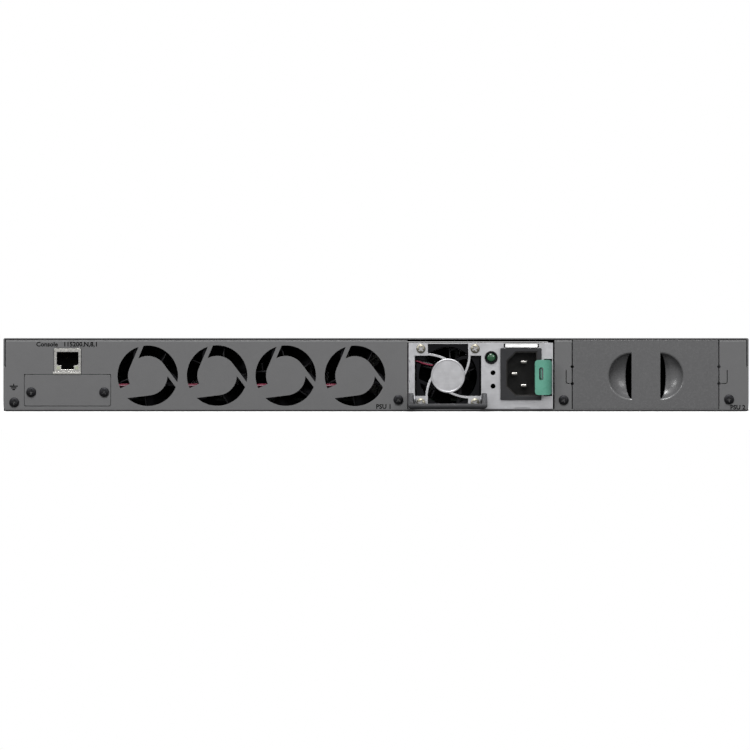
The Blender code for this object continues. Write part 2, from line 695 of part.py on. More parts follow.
def make_handle():
    """A bail that swings on two ears, made of two tapered arms and a round bar."""
    y, z = HANDLE_AXIS
    bar_y, bar_z = HANDLE_BAR
    along = Vector((bar_y - y, bar_z - z))
    lean = degrees(along.angle_signed(Vector((1.0, 0.0))))
    spread = degrees(acos((HANDLE_BOSS - HANDLE_ROD) / along.length))
    arm = (arc(HANDLE_BOSS, lean + spread, lean + 360 - spread, 14, (y, z))
           + arc(HANDLE_ROD, lean - spread, lean + spread, 8, (bar_y, bar_z)))
    (left_low, left_high), (right_low, right_high) = HANDLE_SIDES
    handle = outline("psu_handle", arm, "YZ", left_low, left_high, "grey_plastic")
    join(handle, outline("right_arm", arm, "YZ", right_low, right_high))
    join(handle, rod("handle_bar", HANDLE_BAR, HANDLE_ROD - 0.05, left_low + 1, right_high - 1, sides=18, along="X"))
    join(handle, rod("left_pin", HANDLE_AXIS, 1.3, left_high - 1, left_high + 1.5, sides=12, along="X"))
    join(handle, rod("right_pin", HANDLE_AXIS, 1.3, right_low - 1.0, right_low + 1, sides=12, along="X"))
    move_origin(handle, (left_low, y, z))
    return handle


def move_origin(made, spot):
    """Moves an object's origin to a place in the world and leaves its shape where it is."""
    target = Matrix.Translation([v * MM for v in spot])
    made.data.transform(target.inverted() @ made.matrix_world)
    made.matrix_world = target


def make_latch():
    """The release tab, hooked over the inlet's edge, on a leaf that bends inside the supply."""
    low, high = LATCH_Z
    section = ([(LATCH_X, REAR + 2.0), (LATCH_X, REAR - 3.0)]
               + arc(5.5, 0, -80, 6, (LATCH_X - 5.5, REAR - 4.0)) + [(93.6, REAR - 9.9)])
    tab = sheet("psu_latch", section, "XY", low, high, 1.9, "green_plastic")
    slot_half, slot_x, slot_ends = 1.0, 97.3, (18.4, 25.8)
    slot = (arc(slot_half, 180, 360, 6, (slot_x, slot_ends[0] + slot_half))
            + arc(slot_half, 0, 180, 6, (slot_x, slot_ends[1] - slot_half)))
    cut(tab, outline("latch_slot", slot, "XZ", REAR - 15, REAR - 6))
    leaf = box("psu_latch_leaf", (LATCH_X - 0.3, REAR + 2.4, 12), (LATCH_X + 0.3, LATCH_PIVOT, 28), "nickel")
    join(leaf, box("latch_tooth", (LATCH_X + 0.1, REAR + 20, 17), (LATCH_X + 0.8, REAR + 24, 23)))
    for piece in (tab, leaf):
        move_origin(piece, (LATCH_X, LATCH_PIVOT, 20.0))


def make_psu_inside():
    board_z = (6.0, 7.6)
    fingers = (36.0, 88.0)
    shape = [(22, -124), (102, -124), (102, 29), (fingers[1], 29), (fingers[1], 38),
             (fingers[0], 38), (fingers[0], 29), (22, 29)]
    outline("psu_circuit_board", shape, "XY", *board_z, "circuit_board")
    transformer = box("psu_transformer", (58, -60, 7.9), (92, -28, 34), "black_plastic")
    transformer.modifiers.new("edges", "BEVEL").width = 1.5 * MM


def make_psu():
    make_psu_case()
    make_psu_face()
    rear = REAR + 1.2
    x, z = PSU_FAN_CENTRE
    fan_frame("psu_fan_frame", (x, z), rear, 37.2, 17.2, 17.8, 10.3, 161, (50, 200, 300))
    fan_rotor("psu_fan_rotor", (x, z), rear, 16.6, 10.0, 5, 10)
    tail = ((x - 15, rear + 33, z - 2), (x - 12, rear + 40, z - 11))
    fan_leads("psu_fan_leads", (x, z), rear, 10.3, 17.2, 17.8, 142, 161, tail)
    for n, (sx, sz) in enumerate(((-1, -1), (1, -1), (-1, 1), (1, 1)), start=1):
        spot = (x + sx * PSU_FAN_SCREW, z + sz * PSU_FAN_SCREW)
        screw(f"psu_fan_screw_{n}", spot, REAR, "brass_screw", length=0.9, head=2.7)
    make_inlet()
    bezel = rod("psu_led_bezel", LED, 3.85, REAR - 1.1, REAR - GAP, "black_plastic", sides=24)
    join(bezel, rod("led_barrel", LED, 3.2, REAR - 0.8, REAR + 5, sides=20))
    cut(bezel, rod("led_bore", LED, 2.8, REAR - 5, REAR + 8, sides=20))
    rod("psu_led_lens", LED, 2.5, REAR - 1.0, REAR + 6, "lens_green", sides=20)
    make_handle()
    make_latch()
    make_psu_inside()


# ---- Blank cover of the second bay ----

def make_blank():
    left = BAY_LEFTS[1] + GAP
    right = BAY_LEFTS[1] + BAY_WIDTH - GAP
    low, high = (left, 1.2), (right, INNER_TOP)
    cover = box("blank_cover", *between(low, high, REAR, REAR + 18), "grey_paint")
    hollow = grown(low, high, -1.2)
    cut(cover, box("blank_hollow", *between(*hollow, REAR + 1.2, REAR + 30)))
    for n, (x, side) in enumerate(GRIP_FLATS):
        join(cover, grip(f"grip_wall_{n}", x, side, 1.1))
        cut(cover, grip(f"grip_hollow_{n}", x, side, 0.0))
    return cover


def grip(name, flat_x, side, wall):
    """Half of a shallow dish that ends at one flat wall. Its hollow has a slot open to the inside."""
    start = REAR if wall == 0.0 else REAR + 0.4
    z = GRIP_CENTRE_Z
    dish = ball(name, (flat_x, REAR, z), (GRIP_RADIUS + wall, GRIP_DISH + wall, GRIP_RADIUS + wall))
    if wall == 0.0:
        turns = [2 * pi * n / 24 for n in range(24)]
        slot = [(flat_x + GRIP_SLOT[0] * cos(t), z + GRIP_SLOT[1] * sin(t)) for t in turns]
        join(dish, outline(name + "_slot", slot, "XZ", REAR - 2, REAR + 25))
    keep = sorted((flat_x - side * wall, flat_x + side * 30))
    reach = 5 if wall == 0.0 else 0
    half = box(name + "_half", (keep[0], start - reach, z - 30), (keep[1], REAR + 30, z + 30))
    cutter(half)
    trim = dish.modifiers.new("half", "BOOLEAN")
    trim.operation = "INTERSECT"
    trim.object = half
    return dish


# ---- Boards and front ports ----

def port_block_reach(x):
    half = 3 * PORT_COLUMN
    return (x - half, BOARD_TOP + GAP), (x + half, BOARD_TOP + GAP + 2 * PORT_ROW)


def sfp_reach():
    return (SFP_CENTRE - 15.2, BOARD_TOP + GAP), (SFP_CENTRE + 15.2, BOARD_TOP + GAP + 10.0)


def usb_reach():
    return (USB_CENTRE - 7.2, BOARD_TOP + GAP), (USB_CENTRE + 7.2, BOARD_TOP + GAP + 7.0)


def make_port_blocks():
    for n, x in enumerate(PORT_BLOCKS, start=1):
        low, high = port_block_reach(x)
        block = box(f"port_block_{n}", *between(low, high, FRONT - 25, FRONT + 0.4), "nickel")
        for column in range(6):
            for row in range(2):
                cx = x + (column - 2.5) * PORT_COLUMN
                cz = low[1] + (row + 0.5) * PORT_ROW
                half_x, half_z = PORT_SIZE[0] / 2, PORT_SIZE[1] / 2
                reach = between((cx - half_x, cz - half_z), (cx + half_x, cz + half_z), FRONT - 15, FRONT + 5)
                cut(block, box(f"port_{n}_{column}_{row}", *reach))


def make_front_parts():
    make_port_blocks()
    low, high = sfp_reach()
    cage = box("sfp_cage", *between(low, high, FRONT - 48, FRONT + 0.4), "nickel")
    for n, x in enumerate((SFP_CENTRE - 7.5, SFP_CENTRE + 7.5)):
        reach = between((x - 6.95, low[1] + 0.6), (x + 6.95, high[1] - 0.6), FRONT - 44, FRONT + 5)
        cut(cage, box(f"sfp_port_{n}", *reach))
    low, high = usb_reach()
    usb = box("usb_port", *between(low, high, FRONT - 14, FRONT + 0.4), "nickel")
    middle = (low[1] + high[1]) / 2
    cut(usb, box("usb_mouth", *between((low[0] + 0.9, low[1] + 0.9), (high[0] - 0.9, high[1] - 0.9),
                                       FRONT - 11, FRONT + 5)))
    tongue_low, tongue_high = (low[0] + 1.6, middle + 0.1), (high[0] - 1.6, middle + 1.9)
    join(usb, box("usb_tongue", *between(tongue_low, tongue_high, FRONT - 12, FRONT - 1)))
    button = rod("mode_button", BUTTON, 1.6, FRONT - 6, FRONT + 1.2, "black_plastic", sides=20)
    join(button, rod("button_collar", BUTTON, 2.6, FRONT - 6.5, FRONT - 2.5, sides=20))


def make_boards():
    corner_x, corner_y = 13.0, 50.0
    left, right, front = -213.0, 213.0, FRONT - 3.0
    shape = [(left, -114), (corner_x, -114), (corner_x, corner_y), (right, corner_y), (right, front), (left, front)]
    outline("main_board", shape, "XY", BOARD_TOP - BOARD, BOARD_TOP, "circuit_board")
    chip_top = BOARD_TOP + GAP + 3.0
    box("switch_chip", (-80, 40, BOARD_TOP + GAP), (-40, 80, chip_top), "black_plastic")
    fins, pitch, fin = 13, 5.0, 1.6
    base = chip_top + GAP
    half = (fins - 1) * pitch / 2 + fin / 2
    comb = [(-60 - half, base), (-60 + half, base)]
    for n in reversed(range(fins)):
        x = -60 + (n - (fins - 1) / 2) * pitch
        comb += [(x + fin / 2, base + 18), (x - fin / 2, base + 18)]
        if n:
            comb += [(x - fin / 2, base + 3), (x - pitch + fin / 2, base + 3)]
    outline("chip_heat_sink", comb, "XZ", 28, 92, "heat_sink")
    box("supply_backplane", (corner_x + 1.5, BAY_END + 1.3, 2), (208, BAY_END + 2.9, 40), "circuit_board")
    for n, bay in enumerate(BAY_LEFTS, start=1):
        x = bay + BAY_WIDTH / 2
        socket = box(f"supply_socket_{n}", (x - 30, BAY_END - 9, 2.8), (x + 30, BAY_END + 1, 10.8), "black_plastic")
        cut(socket, box(f"socket_slot_{n}", (x - 27, BAY_END - 12, 5.6), (x + 27, BAY_END - 2.5, 8.0)))


def make_psu_group():
    """Hangs every piece of the supply on one empty, which slides out to the rear."""
    group = bpy.data.objects.new("power_supply", None)
    group.location = [v * MM for v in (PSU_LOW[0], REAR, PSU_LOW[1])]
    model.objects.link(group)
    back = Matrix.Translation(group.location).inverted()
    for piece in list(model.objects):
        if piece.name.startswith("psu_"):
            piece.parent = group
            piece.matrix_parent_inverse = back


clear_scene()
make_materials()
make_tray()
make_rear_panel()
make_front_panel()
make_lid()
make_dividers()
make_chassis_fans()
make_rear_fittings()
make_psu()
make_blank()
make_front_parts()
make_boards()
make_psu_group()
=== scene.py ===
"""The looks of the rackmount switch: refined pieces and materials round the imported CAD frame."""

from math import acos, cos, degrees, pi, radians, sin

import bmesh
import bpy
from mathutils import Matrix, Vector


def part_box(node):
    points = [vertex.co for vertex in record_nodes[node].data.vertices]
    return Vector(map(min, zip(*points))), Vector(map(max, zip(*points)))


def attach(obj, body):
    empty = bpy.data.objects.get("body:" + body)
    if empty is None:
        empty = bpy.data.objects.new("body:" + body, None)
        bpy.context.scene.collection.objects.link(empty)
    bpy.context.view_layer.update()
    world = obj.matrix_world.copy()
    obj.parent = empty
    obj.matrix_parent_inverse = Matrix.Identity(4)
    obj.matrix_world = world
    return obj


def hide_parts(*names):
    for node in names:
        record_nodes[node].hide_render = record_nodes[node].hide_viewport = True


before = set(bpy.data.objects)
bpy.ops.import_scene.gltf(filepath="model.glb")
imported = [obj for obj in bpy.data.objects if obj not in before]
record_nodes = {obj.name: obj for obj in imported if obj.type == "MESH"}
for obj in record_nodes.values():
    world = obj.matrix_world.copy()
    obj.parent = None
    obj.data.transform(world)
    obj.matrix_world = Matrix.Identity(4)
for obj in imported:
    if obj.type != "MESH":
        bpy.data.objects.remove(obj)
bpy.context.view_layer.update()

MM = 0.001
scene = bpy.context.scene

SHEET = 0.8
BEND = 1.0


def reach(node):
    """A CAD node's lowest and highest corners, in millimetres."""
    low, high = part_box(node)
    return low / MM, high / MM


def spot_of(node):
    """The middle of a CAD node as seen from the rear, (x, z)."""
    low, high = reach(node)
    centre = (low + high) / 2
    return centre.x, centre.z


tray_low, tray_high = reach("base_tray")
lid_low, lid_high = reach("top_cover")
panel_low, panel_high = reach("rear_panel")
REAR = panel_low.y
FRONT = reach("front_panel")[1].y
SIDE = panel_high.x
PANEL_TOP = panel_high.z


# ---- Camera, light and floor ----

def make_camera():
    """A long lens level with the rear panel, framed a little wider than the case."""
    distance = 4.5
    seen_width = 0.4428
    data = bpy.data.cameras.new("camera")
    data.sensor_width = 36.0
    data.lens = data.sensor_width * distance / seen_width
    data.clip_end = 50.0
    camera = bpy.data.objects.new("camera", data)
    camera.location = (-0.0006, REAR * MM - distance, 0.0214)
    camera.rotation_euler = (pi / 2, 0.0, 0.0)
    scene.collection.objects.link(camera)
    scene.camera = camera


def area_light(name, spot, target, size, power):
    data = bpy.data.lights.new(name, "AREA")
    data.shape = "RECTANGLE"
    data.size, data.size_y = size
    data.energy = power
    light = bpy.data.objects.new(name, data)
    light.location = spot
    light.rotation_euler = (Vector(target) - Vector(spot)).to_track_quat("-Z", "Y").to_euler()
    scene.collection.objects.link(light)


def make_studio():
    """A white room with softboxes overhead and at both ends, a key light and two small side lights."""
    world = bpy.data.worlds.new("studio")
    world.use_nodes = True
    tree = world.node_tree
    seen, lit = tree.nodes["Background"], tree.nodes.new("ShaderNodeBackground")
    for background, strength in ((seen, 1.0), (lit, 0.24)):
        background.inputs["Color"].default_value = (1.0, 1.0, 1.0, 1.0)
        background.inputs["Strength"].default_value = strength
    choice, path = tree.nodes.new("ShaderNodeMixShader"), tree.nodes.new("ShaderNodeLightPath")
    tree.links.new(path.outputs["Is Camera Ray"], choice.inputs["Fac"])
    tree.links.new(lit.outputs["Background"], choice.inputs[1])
    tree.links.new(seen.outputs["Background"], choice.inputs[2])
    tree.links.new(choice.outputs["Shader"], tree.nodes["World Output"].inputs["Surface"])
    scene.world = world
    scene.view_settings.view_transform = "Standard"
    scene.view_settings.look = "None"
    area_light("overhead", (0.0, -0.1, 1.8), (0.0, -0.05, 0.0), (2.6, 2.2), 46.0)
    area_light("key", (-0.1, -1.15, 1.42), (0.0, -0.155, 0.02), (0.6, 0.4), 27.0)
    area_light("fill", (0.2, -2.6, 0.9), (0.0, -0.15, 0.02), (2.0, 1.2), 8.0)
    area_light("left", (-1.35, -1.75, 0.85), (0.1, -0.15, 0.02), (0.4, 0.4), 11.0)
    area_light("right", (1.3, -2.1, 0.85), (0.1, -0.15, 0.02), (0.4, 0.4), 9.0)
    area_light("front", (-0.5, 2.3, 1.1), (0.0, 0.15, 0.02), (1.6, 1.0), 14.0)


def make_floor():
    """A round pale floor that looks white but throws little light back up."""
    mesh = bpy.data.meshes.new("floor")
    shape = bmesh.new()
    bmesh.ops.create_circle(shape, cap_ends=True, radius=1.6, segments=96)
    shape.to_mesh(mesh)
    shape.free()
    floor = bpy.data.objects.new("floor", mesh)
    floor.location.z = -0.0002
    scene.collection.objects.link(floor)
    paper = bpy.data.materials.new("pale_floor")
    paper.use_nodes = True
    tree = paper.node_tree
    shader = tree.nodes["Principled BSDF"]
    tone, path = tree.nodes.new("ShaderNodeMix"), tree.nodes.new("ShaderNodeLightPath")
    tone.data_type = "RGBA"
    tone.inputs["A"].default_value = (0.12, 0.12, 0.12, 1.0)
    tone.inputs["B"].default_value = (0.95, 0.95, 0.95, 1.0)
    tree.links.new(path.outputs["Is Camera Ray"], tone.inputs["Factor"])
    tree.links.new(tone.outputs["Result"], shader.inputs["Base Color"])
    shader.inputs["Roughness"].default_value = 0.9
    shader.inputs["Specular IOR Level"].default_value = 0.1
    mesh.materials.append(paper)


# ---- Materials ----

class Nodes:
    """A material's node tree, with short calls for the nodes the finishes use."""

    def __init__(self, name, roughness, metallic=0.0, specular=0.5):
        self.made = bpy.data.materials.new(name)
        self.made.use_nodes = True
        self.tree = self.made.node_tree
        self.shader = self.tree.nodes["Principled BSDF"]
        self.shader.inputs["Roughness"].default_value = roughness
        self.shader.inputs["Metallic"].default_value = metallic
        self.shader.inputs["Specular IOR Level"].default_value = specular
        self.place = self.tree.nodes.new("ShaderNodeTexCoord").outputs["Object"]

    def link(self, source, target):
        self.tree.links.new(source, target)

    def add(self, kind, source, target, **values):
        """A new node with the given values and one linked input."""
        node = self.tree.nodes.new("ShaderNode" + kind)
        for name, value in values.items():
            node.inputs[name].default_value = value
        self.link(source, node.inputs[target])
        return node

    def stretched(self, scale):
        return self.add("Mapping", self.place, "Vector", Scale=scale).outputs["Vector"]

    def noise(self, scale, detail=3.0, rough=0.55, where=None):
        node = self.add("TexNoise", where or self.place, "Vector", Scale=scale, Detail=detail, Roughness=rough)
        return node.outputs["Fac"]

    def cells(self, scale):
        return self.add("TexVoronoi", self.place, "Vector", Scale=scale).outputs["Color"]

    def ramp(self, source, *stops):
        """Maps a value to colours at the given places, each stop (place, colour or grey)."""
        node = self.add("ValToRGB", source, "Fac")
        elements = node.color_ramp.elements
        while len(elements) < len(stops):
            elements.new(0.5)
        for element, (spot, shade) in zip(elements, stops):
            element.position = spot
            element.color = (*shade, 1.0) if isinstance(shade, tuple) else (shade, shade, shade, 1.0)
        return node.outputs["Color"]

    def multiply(self, first, second):
        node = self.tree.nodes.new("ShaderNodeMix")
        node.data_type = "RGBA"
        node.blend_type = "MULTIPLY"
        node.inputs["Factor"].default_value = 0.8
        self.link(first, node.inputs["A"])
        self.link(second, node.inputs["B"])
        return node.outputs["Result"]

    def colour(self, source):
        self.link(source, self.shader.inputs["Base Color"])

    def rough(self, source):
        self.link(source, self.shader.inputs["Roughness"])

    def bump(self, source, depth, strength):
        node = self.add("Bump", source, "Height", Distance=depth, Strength=strength)
        self.link(node.outputs["Normal"], self.shader.inputs["Normal"])


def shades(base, spread):
    """The colour a little darker and a little lighter."""
    return tuple(c * (1 - spread) for c in base), tuple(c * (1 + spread) for c in base)


def powder_coat(name, base, gloss=0.5):
    """Fine-textured powder coat: orange-peel grain, faint mottle and tiny pale and dark flecks."""
    n = Nodes(name, gloss, specular=0.45)
    dark, light = shades(base, 0.03)
    mottle = n.ramp(n.noise(90.0, 6.0, 0.7), (0.3, dark), (0.7, light))
    flecks = n.ramp(n.noise(2600.0, 2.0), (0.30, 0.80), (0.45, 1.0), (0.62, 1.0), (0.78, 1.22))
    n.colour(n.multiply(mottle, flecks))
    n.rough(n.ramp(n.noise(700.0, 2.0), (0.3, gloss - 0.07), (0.7, gloss + 0.1)))
    n.bump(n.noise(1500.0, 3.0), 0.00005, 0.55)
    return n.made


def zinc(name, base, grain=0.0):
    """Zinc-plated steel: faint spangle, rolling marks and small handling scuffs."""
    n = Nodes(name, 0.36, 1.0)
    dark, light = shades(base, 0.03)
    spangle = n.ramp(n.cells(450.0), (0.1, dark), (0.9, light))
    rolled = n.ramp(n.noise(1.0, 4.0, where=n.stretched((90.0, 900.0, 1800.0))), (0.3, 0.93), (0.7, 1.0))
    n.colour(n.multiply(spangle, rolled))
    n.rough(n.ramp(n.noise(260.0, 5.0), (0.3, 0.34 + grain), (0.7, 0.43 + grain)))
    n.bump(n.noise(1.0, 3.0, where=n.stretched((300.0, 1500.0, 2500.0))), 0.00001, 0.2)
    return n.made


def moulded(name, base, roughness, grain=900.0, depth=0.00002, specular=0.45):
    """Moulded plastic with a fine spark-eroded texture and slight variation in gloss."""
    n = Nodes(name, roughness, specular=specular)
    dark, light = shades(base, 0.10)
    n.colour(n.ramp(n.noise(120.0, 4.0), (0.3, dark), (0.7, light)))
    n.rough(n.ramp(n.noise(320.0, 3.0), (0.3, roughness - 0.07), (0.7, roughness + 0.09)))
    n.bump(n.noise(grain, 2.0), depth, 0.6)
    return n.made


def plated(name, base, roughness=0.3):
    """Small plated metal: bright, with a slightly uneven finish."""
    n = Nodes(name, roughness, 1.0)
    dark, light = shades(base, 0.06)
    n.colour(n.ramp(n.noise(500.0, 4.0), (0.3, dark), (0.7, light)))
    n.rough(n.ramp(n.noise(900.0, 3.0), (0.3, roughness - 0.04), (0.7, roughness + 0.07)))
    n.bump(n.noise(1800.0, 2.0), 0.00001, 0.5)
    return n.made


def board_finish(name):
    """Green solder mask over copper, with pale tracks and pads."""
    n = Nodes(name, 0.35, specular=0.5)
    tracks = n.ramp(n.cells(140.0), (0.45, (0.006, 0.055, 0.022)), (0.55, (0.012, 0.09, 0.035)))
    n.colour(n.multiply(tracks, n.ramp(n.noise(60.0, 4.0), (0.3, 0.85), (0.7, 1.0))))
    n.bump(n.noise(400.0, 2.0), 0.00002, 0.4)
    return n.made


def make_finishes():
    return {
        "paint": powder_coat("powder_coat_grey", (0.100, 0.100, 0.102)),
        "paint_blank": powder_coat("powder_coat_blank", (0.092, 0.092, 0.094), 0.24),
        "zinc": zinc("zinc_steel", (0.66, 0.66, 0.68)),
        # Tongue finish: a darker, rougher copy of the face's zinc; the darker colour is painted shade that
        # tones down the tongue's reflection of the lights above.
        "bright": zinc("zinc_tongue_painted_shade", (0.27, 0.27, 0.27), 0.14),
        "nickel": plated("nickel_plate", (0.69, 0.68, 0.65), 0.28),
        # Pin finish: a darker copy of the nickel plating, painted shade standing in for the dark recess the
        # pins sit in.
        "pin": plated("pin_plate_painted_shade", (0.36, 0.35, 0.33), 0.32),
        "gold": plated("gold_plate", (0.72, 0.48, 0.16), 0.25),
        "yellow_zinc": plated("yellow_zinc", (0.25, 0.235, 0.19), 0.38),
        "black_screw": plated("black_screw", (0.024, 0.024, 0.026), 0.45),
        "black": moulded("black_plastic", (0.005, 0.005, 0.006), 0.6, specular=0.06),
        "blade": moulded("fan_blade_plastic", (0.014, 0.014, 0.016), 0.42, specular=0.25),
        "grey": moulded("dark_grey_plastic", (0.027, 0.027, 0.029), 0.55, specular=0.12),
        "green": moulded("green_plastic", (0.088, 0.268, 0.198), 0.30, 500.0, 0.00001),
        "well": moulded("inlet_black", (0.012, 0.011, 0.010), 0.36, specular=0.35),
        # Ear finish: a darker copy of the face's zinc, painted shade that takes out the key light's glint on
        # the ear tops.
        "ear": zinc("zinc_ears_painted_shade", (0.22, 0.22, 0.23), 0.16),
        "lens": moulded("green_lens", (0.014, 0.064, 0.028), 0.18, 300.0, 0.000005, 0.7),
        "light_window": moulded("light_window", (0.30, 0.32, 0.24), 0.25, 300.0, 0.000005),
        "red": moulded("red_lead", (0.15, 0.008, 0.030), 0.5, 500.0, 0.000005, 0.3),
        "pale_lead": moulded("pale_lead", (0.20, 0.12, 0.14), 0.5, 500.0, 0.000005, 0.3),
        "black_lead": moulded("black_lead", (0.012, 0.012, 0.013), 0.4, 500.0, 0.000005),
        "board": board_finish("solder_mask"),
        "aluminium": zinc("aluminium_fins", (0.55, 0.55, 0.57)),
        "ink": moulded("black_ink", (0.003, 0.003, 0.003), 0.8, specular=0.02),
        "pale_ink": moulded("pale_ink", (0.45, 0.45, 0.45), 0.6),
    }


# ---- Shapes: each helper returns a mesh in millimetres ----

PLANES = {
    "XY": Matrix.Identity(4),
    "XZ": Matrix(((1, 0, 0), (0, 0, -1), (0, 1, 0))).to_4x4(),
    "YZ": Matrix(((0, 0, 1), (1, 0, 0), (0, 1, 0))).to_4x4(),
}


def baked(made):
    """The evaluated mesh of an object that isn't needed any more."""
    bpy.context.view_layer.update()
    seen = made.evaluated_get(bpy.context.evaluated_depsgraph_get())
    mesh = bpy.data.meshes.new_from_object(seen)
    mesh.transform(made.matrix_world)
    data = made.data
    bpy.data.objects.remove(made, do_unlink=True)
    if isinstance(data, bpy.types.Mesh):
        bpy.data.meshes.remove(data)
    else:
        bpy.data.curves.remove(data)
    return mesh


def temporary(data):
    made = bpy.data.objects.new("temporary", data)
    scene.collection.objects.link(made)
    return made


def from_bmesh(shape):
    mesh = bpy.data.meshes.new("shape")
    shape.to_mesh(mesh)
    shape.free()
    return mesh


def cleaned(mesh, dissolve=True):
    shape = bmesh.new()
    shape.from_mesh(mesh)
    bmesh.ops.remove_doubles(shape, verts=shape.verts, dist=0.0005)
    if dissolve:
        bmesh.ops.dissolve_limit(shape, angle_limit=radians(0.5), verts=shape.verts, edges=shape.edges)
    bmesh.ops.recalc_face_normals(shape, faces=shape.faces)
    shape.to_mesh(mesh)
    shape.free()
    return mesh


def flat_curve(outlines, thickness):
    curve = bpy.data.curves.new("outline", "CURVE")
    curve.dimensions = "2D"
    curve.fill_mode = "BOTH"
    curve.extrude = thickness / 2
    for points in outlines:
        spline = curve.splines.new("POLY")
        spline.points.add(len(points) - 1)
        for point, (u, v) in zip(spline.points, points):
            point.co = (u, v, 0.0, 1.0)
        spline.use_cyclic_u = True
    return curve


def prism(outlines, plane, start, end, edge=0.0, steps=2):
    """A flat outline, with any holes after it, thick from start to end and with rounded edges."""
    if isinstance(outlines[0][0], (int, float)):
        outlines = [outlines]
    drawn = temporary(flat_curve(outlines, abs(end - start)))
    turn = PLANES[plane]
    axis = Vector([abs(v) for v in turn.to_3x3() @ Vector((0.0, 0.0, 1.0))])
    drawn.matrix_world = Matrix.Translation(axis * (start + end) / 2) @ turn
    return rounded(cleaned(baked(drawn)), edge, steps)


def rounded(mesh, edge, steps=2, angle=40.0):
    if edge <= 0.0:
        return mesh
    made = temporary(mesh)
    bevel = made.modifiers.new("edge", "BEVEL")
    bevel.width = edge
    bevel.segments = steps
    bevel.limit_method = "ANGLE"
    bevel.angle_limit = radians(angle)
    return baked(made)


def block(low, high, edge=0.0, steps=2):
    """A box between two corners, with rounded edges."""
    size = [b - a for a, b in zip(low, high)]
    centre = [(a + b) / 2 for a, b in zip(low, high)]
    shape = bmesh.new()
    bmesh.ops.create_cube(shape, size=1.0)
    place = Matrix.Translation(centre) @ Matrix.Diagonal((*size, 1.0))
    bmesh.ops.transform(shape, matrix=place, verts=shape.verts)
    return rounded(from_bmesh(shape), edge, steps)


def turned(profile, centre, axis="Y", sides=40):
    """A turned shape: (radius, place along the axis) points, spun round a centre in the other two axes."""
    shape = bmesh.new()
    rings = []
    for radius, along in profile:
        if radius < 1e-6:
            rings.append([shape.verts.new((0.0, 0.0, along))] * sides)
        else:
            turns = [2 * pi * n / sides for n in range(sides)]
            rings.append([shape.verts.new((radius * cos(t), radius * sin(t), along)) for t in turns])
    for first, second in zip(rings, rings[1:]):
        for n in range(sides):
            m = (n + 1) % sides
            corners = [first[n], first[m], second[m], second[n]]
            kept = [v for k, v in enumerate(corners) if v not in corners[:k]]
            if len(kept) > 2:
                shape.faces.new(kept)
    if axis == "Y":
        place = Matrix.Translation((centre[0], 0.0, centre[1])) @ Matrix.Rotation(-pi / 2, 4, "X")
    else:
        place = Matrix.Translation((0.0, centre[0], centre[1])) @ Matrix.Rotation(pi / 2, 4, "Y")
    bmesh.ops.transform(shape, matrix=place, verts=shape.verts)
    bmesh.ops.recalc_face_normals(shape, faces=shape.faces)
    return from_bmesh(shape)


def rod(radius, start, end, centre, axis="Y", sides=20):
    return turned([(0, start), (radius, start), (radius, end), (0, end)], centre, axis, sides)


def folded(points, plane, start, end, thickness, cuts=1):
    """A sheet folded along the middle line of its section and drawn from start to end."""
    shape = bmesh.new()
    places = [start + (end - start) * n / cuts for n in range(cuts + 1)]
    rows = [[shape.verts.new((u, v, w)) for u, v in points] for w in places]
    for first, second in zip(rows, rows[1:]):
        for n in range(len(points) - 1):
            shape.faces.new((first[n], first[n + 1], second[n + 1], second[n]))
    made = temporary(from_bmesh(shape))
    made.matrix_world = PLANES[plane]
    thicken(made, thickness)
    return cleaned(baked(made), dissolve=False)


def thicken(made, thickness, offset=0.0):
    wall = made.modifiers.new("sheet", "SOLIDIFY")
    wall.thickness = thickness
    wall.offset = offset
    wall.use_even_offset = True


def wire(points, radius, sides=3):
    """A round wire through the given points."""
    curve = bpy.data.curves.new("wire", "CURVE")
    curve.dimensions = "3D"
    curve.bevel_depth = radius
    curve.bevel_resolution = sides
    curve.use_fill_caps = True
    spline = curve.splines.new("POLY")
    spline.points.add(len(points) - 1)
    for point, spot in zip(spline.points, points):
        point.co = (*spot, 1.0)
    return cleaned(baked(temporary(curve)), dissolve=False)


def carved(mesh, *cutters):
    """The mesh with the cutters taken away from it."""
    return combined(mesh, cutters, "DIFFERENCE")


def combined(mesh, others, operation):
    made = temporary(mesh)
    tools = [temporary(other) for other in others]
    for tool in tools:
        step = made.modifiers.new("step", "BOOLEAN")
        step.operation = operation
        step.object = tool
    result = baked(made)
    for tool in tools:
        data = tool.data
        bpy.data.objects.remove(tool, do_unlink=True)
        bpy.data.meshes.remove(data)
    return result


def quarter_turn(steps):
    """Evenly spaced angles up to a right angle, in radians."""
    return [pi / 2 * n / steps for n in range(1, steps + 1)]


def polar(centre, radius, turn):
    return centre[0] + radius * cos(radians(turn)), centre[1] + radius * sin(radians(turn))


def arc(radius, start, end, steps, centre=(0.0, 0.0)):
    return [polar(centre, radius, start + (end - start) * n / steps) for n in range(steps + 1)]


def circle(radius, centre, steps=32):
    return arc(radius, 0, 360, steps, centre)[:-1]


def rounded_rectangle(low, high, radius, steps=5):
    corners = ((high[0] - radius, high[1] - radius, 0), (low[0] + radius, high[1] - radius, 90),
               (low[0] + radius, low[1] + radius, 180), (high[0] - radius, low[1] + radius, 270))
    return [spot for x, z, turn in corners for spot in arc(radius, turn, turn + 90, steps, (x, z))]


def rim_of(low, high, radius, steps=5, grow=0.0):
    """The rounded outline of a box seen from the rear, wider all round by grow."""
    return rounded_rectangle((low.x - grow, low.z - grow), (high.x + grow, high.z + grow), radius, steps)


def mirror(points):
    """The same points on the other side of the middle line, in reverse order."""
    return [(-u, v) for u, v in reversed(points)]


def moved(points, shift):
    return [(u + shift[0], v + shift[1]) for u, v in points]


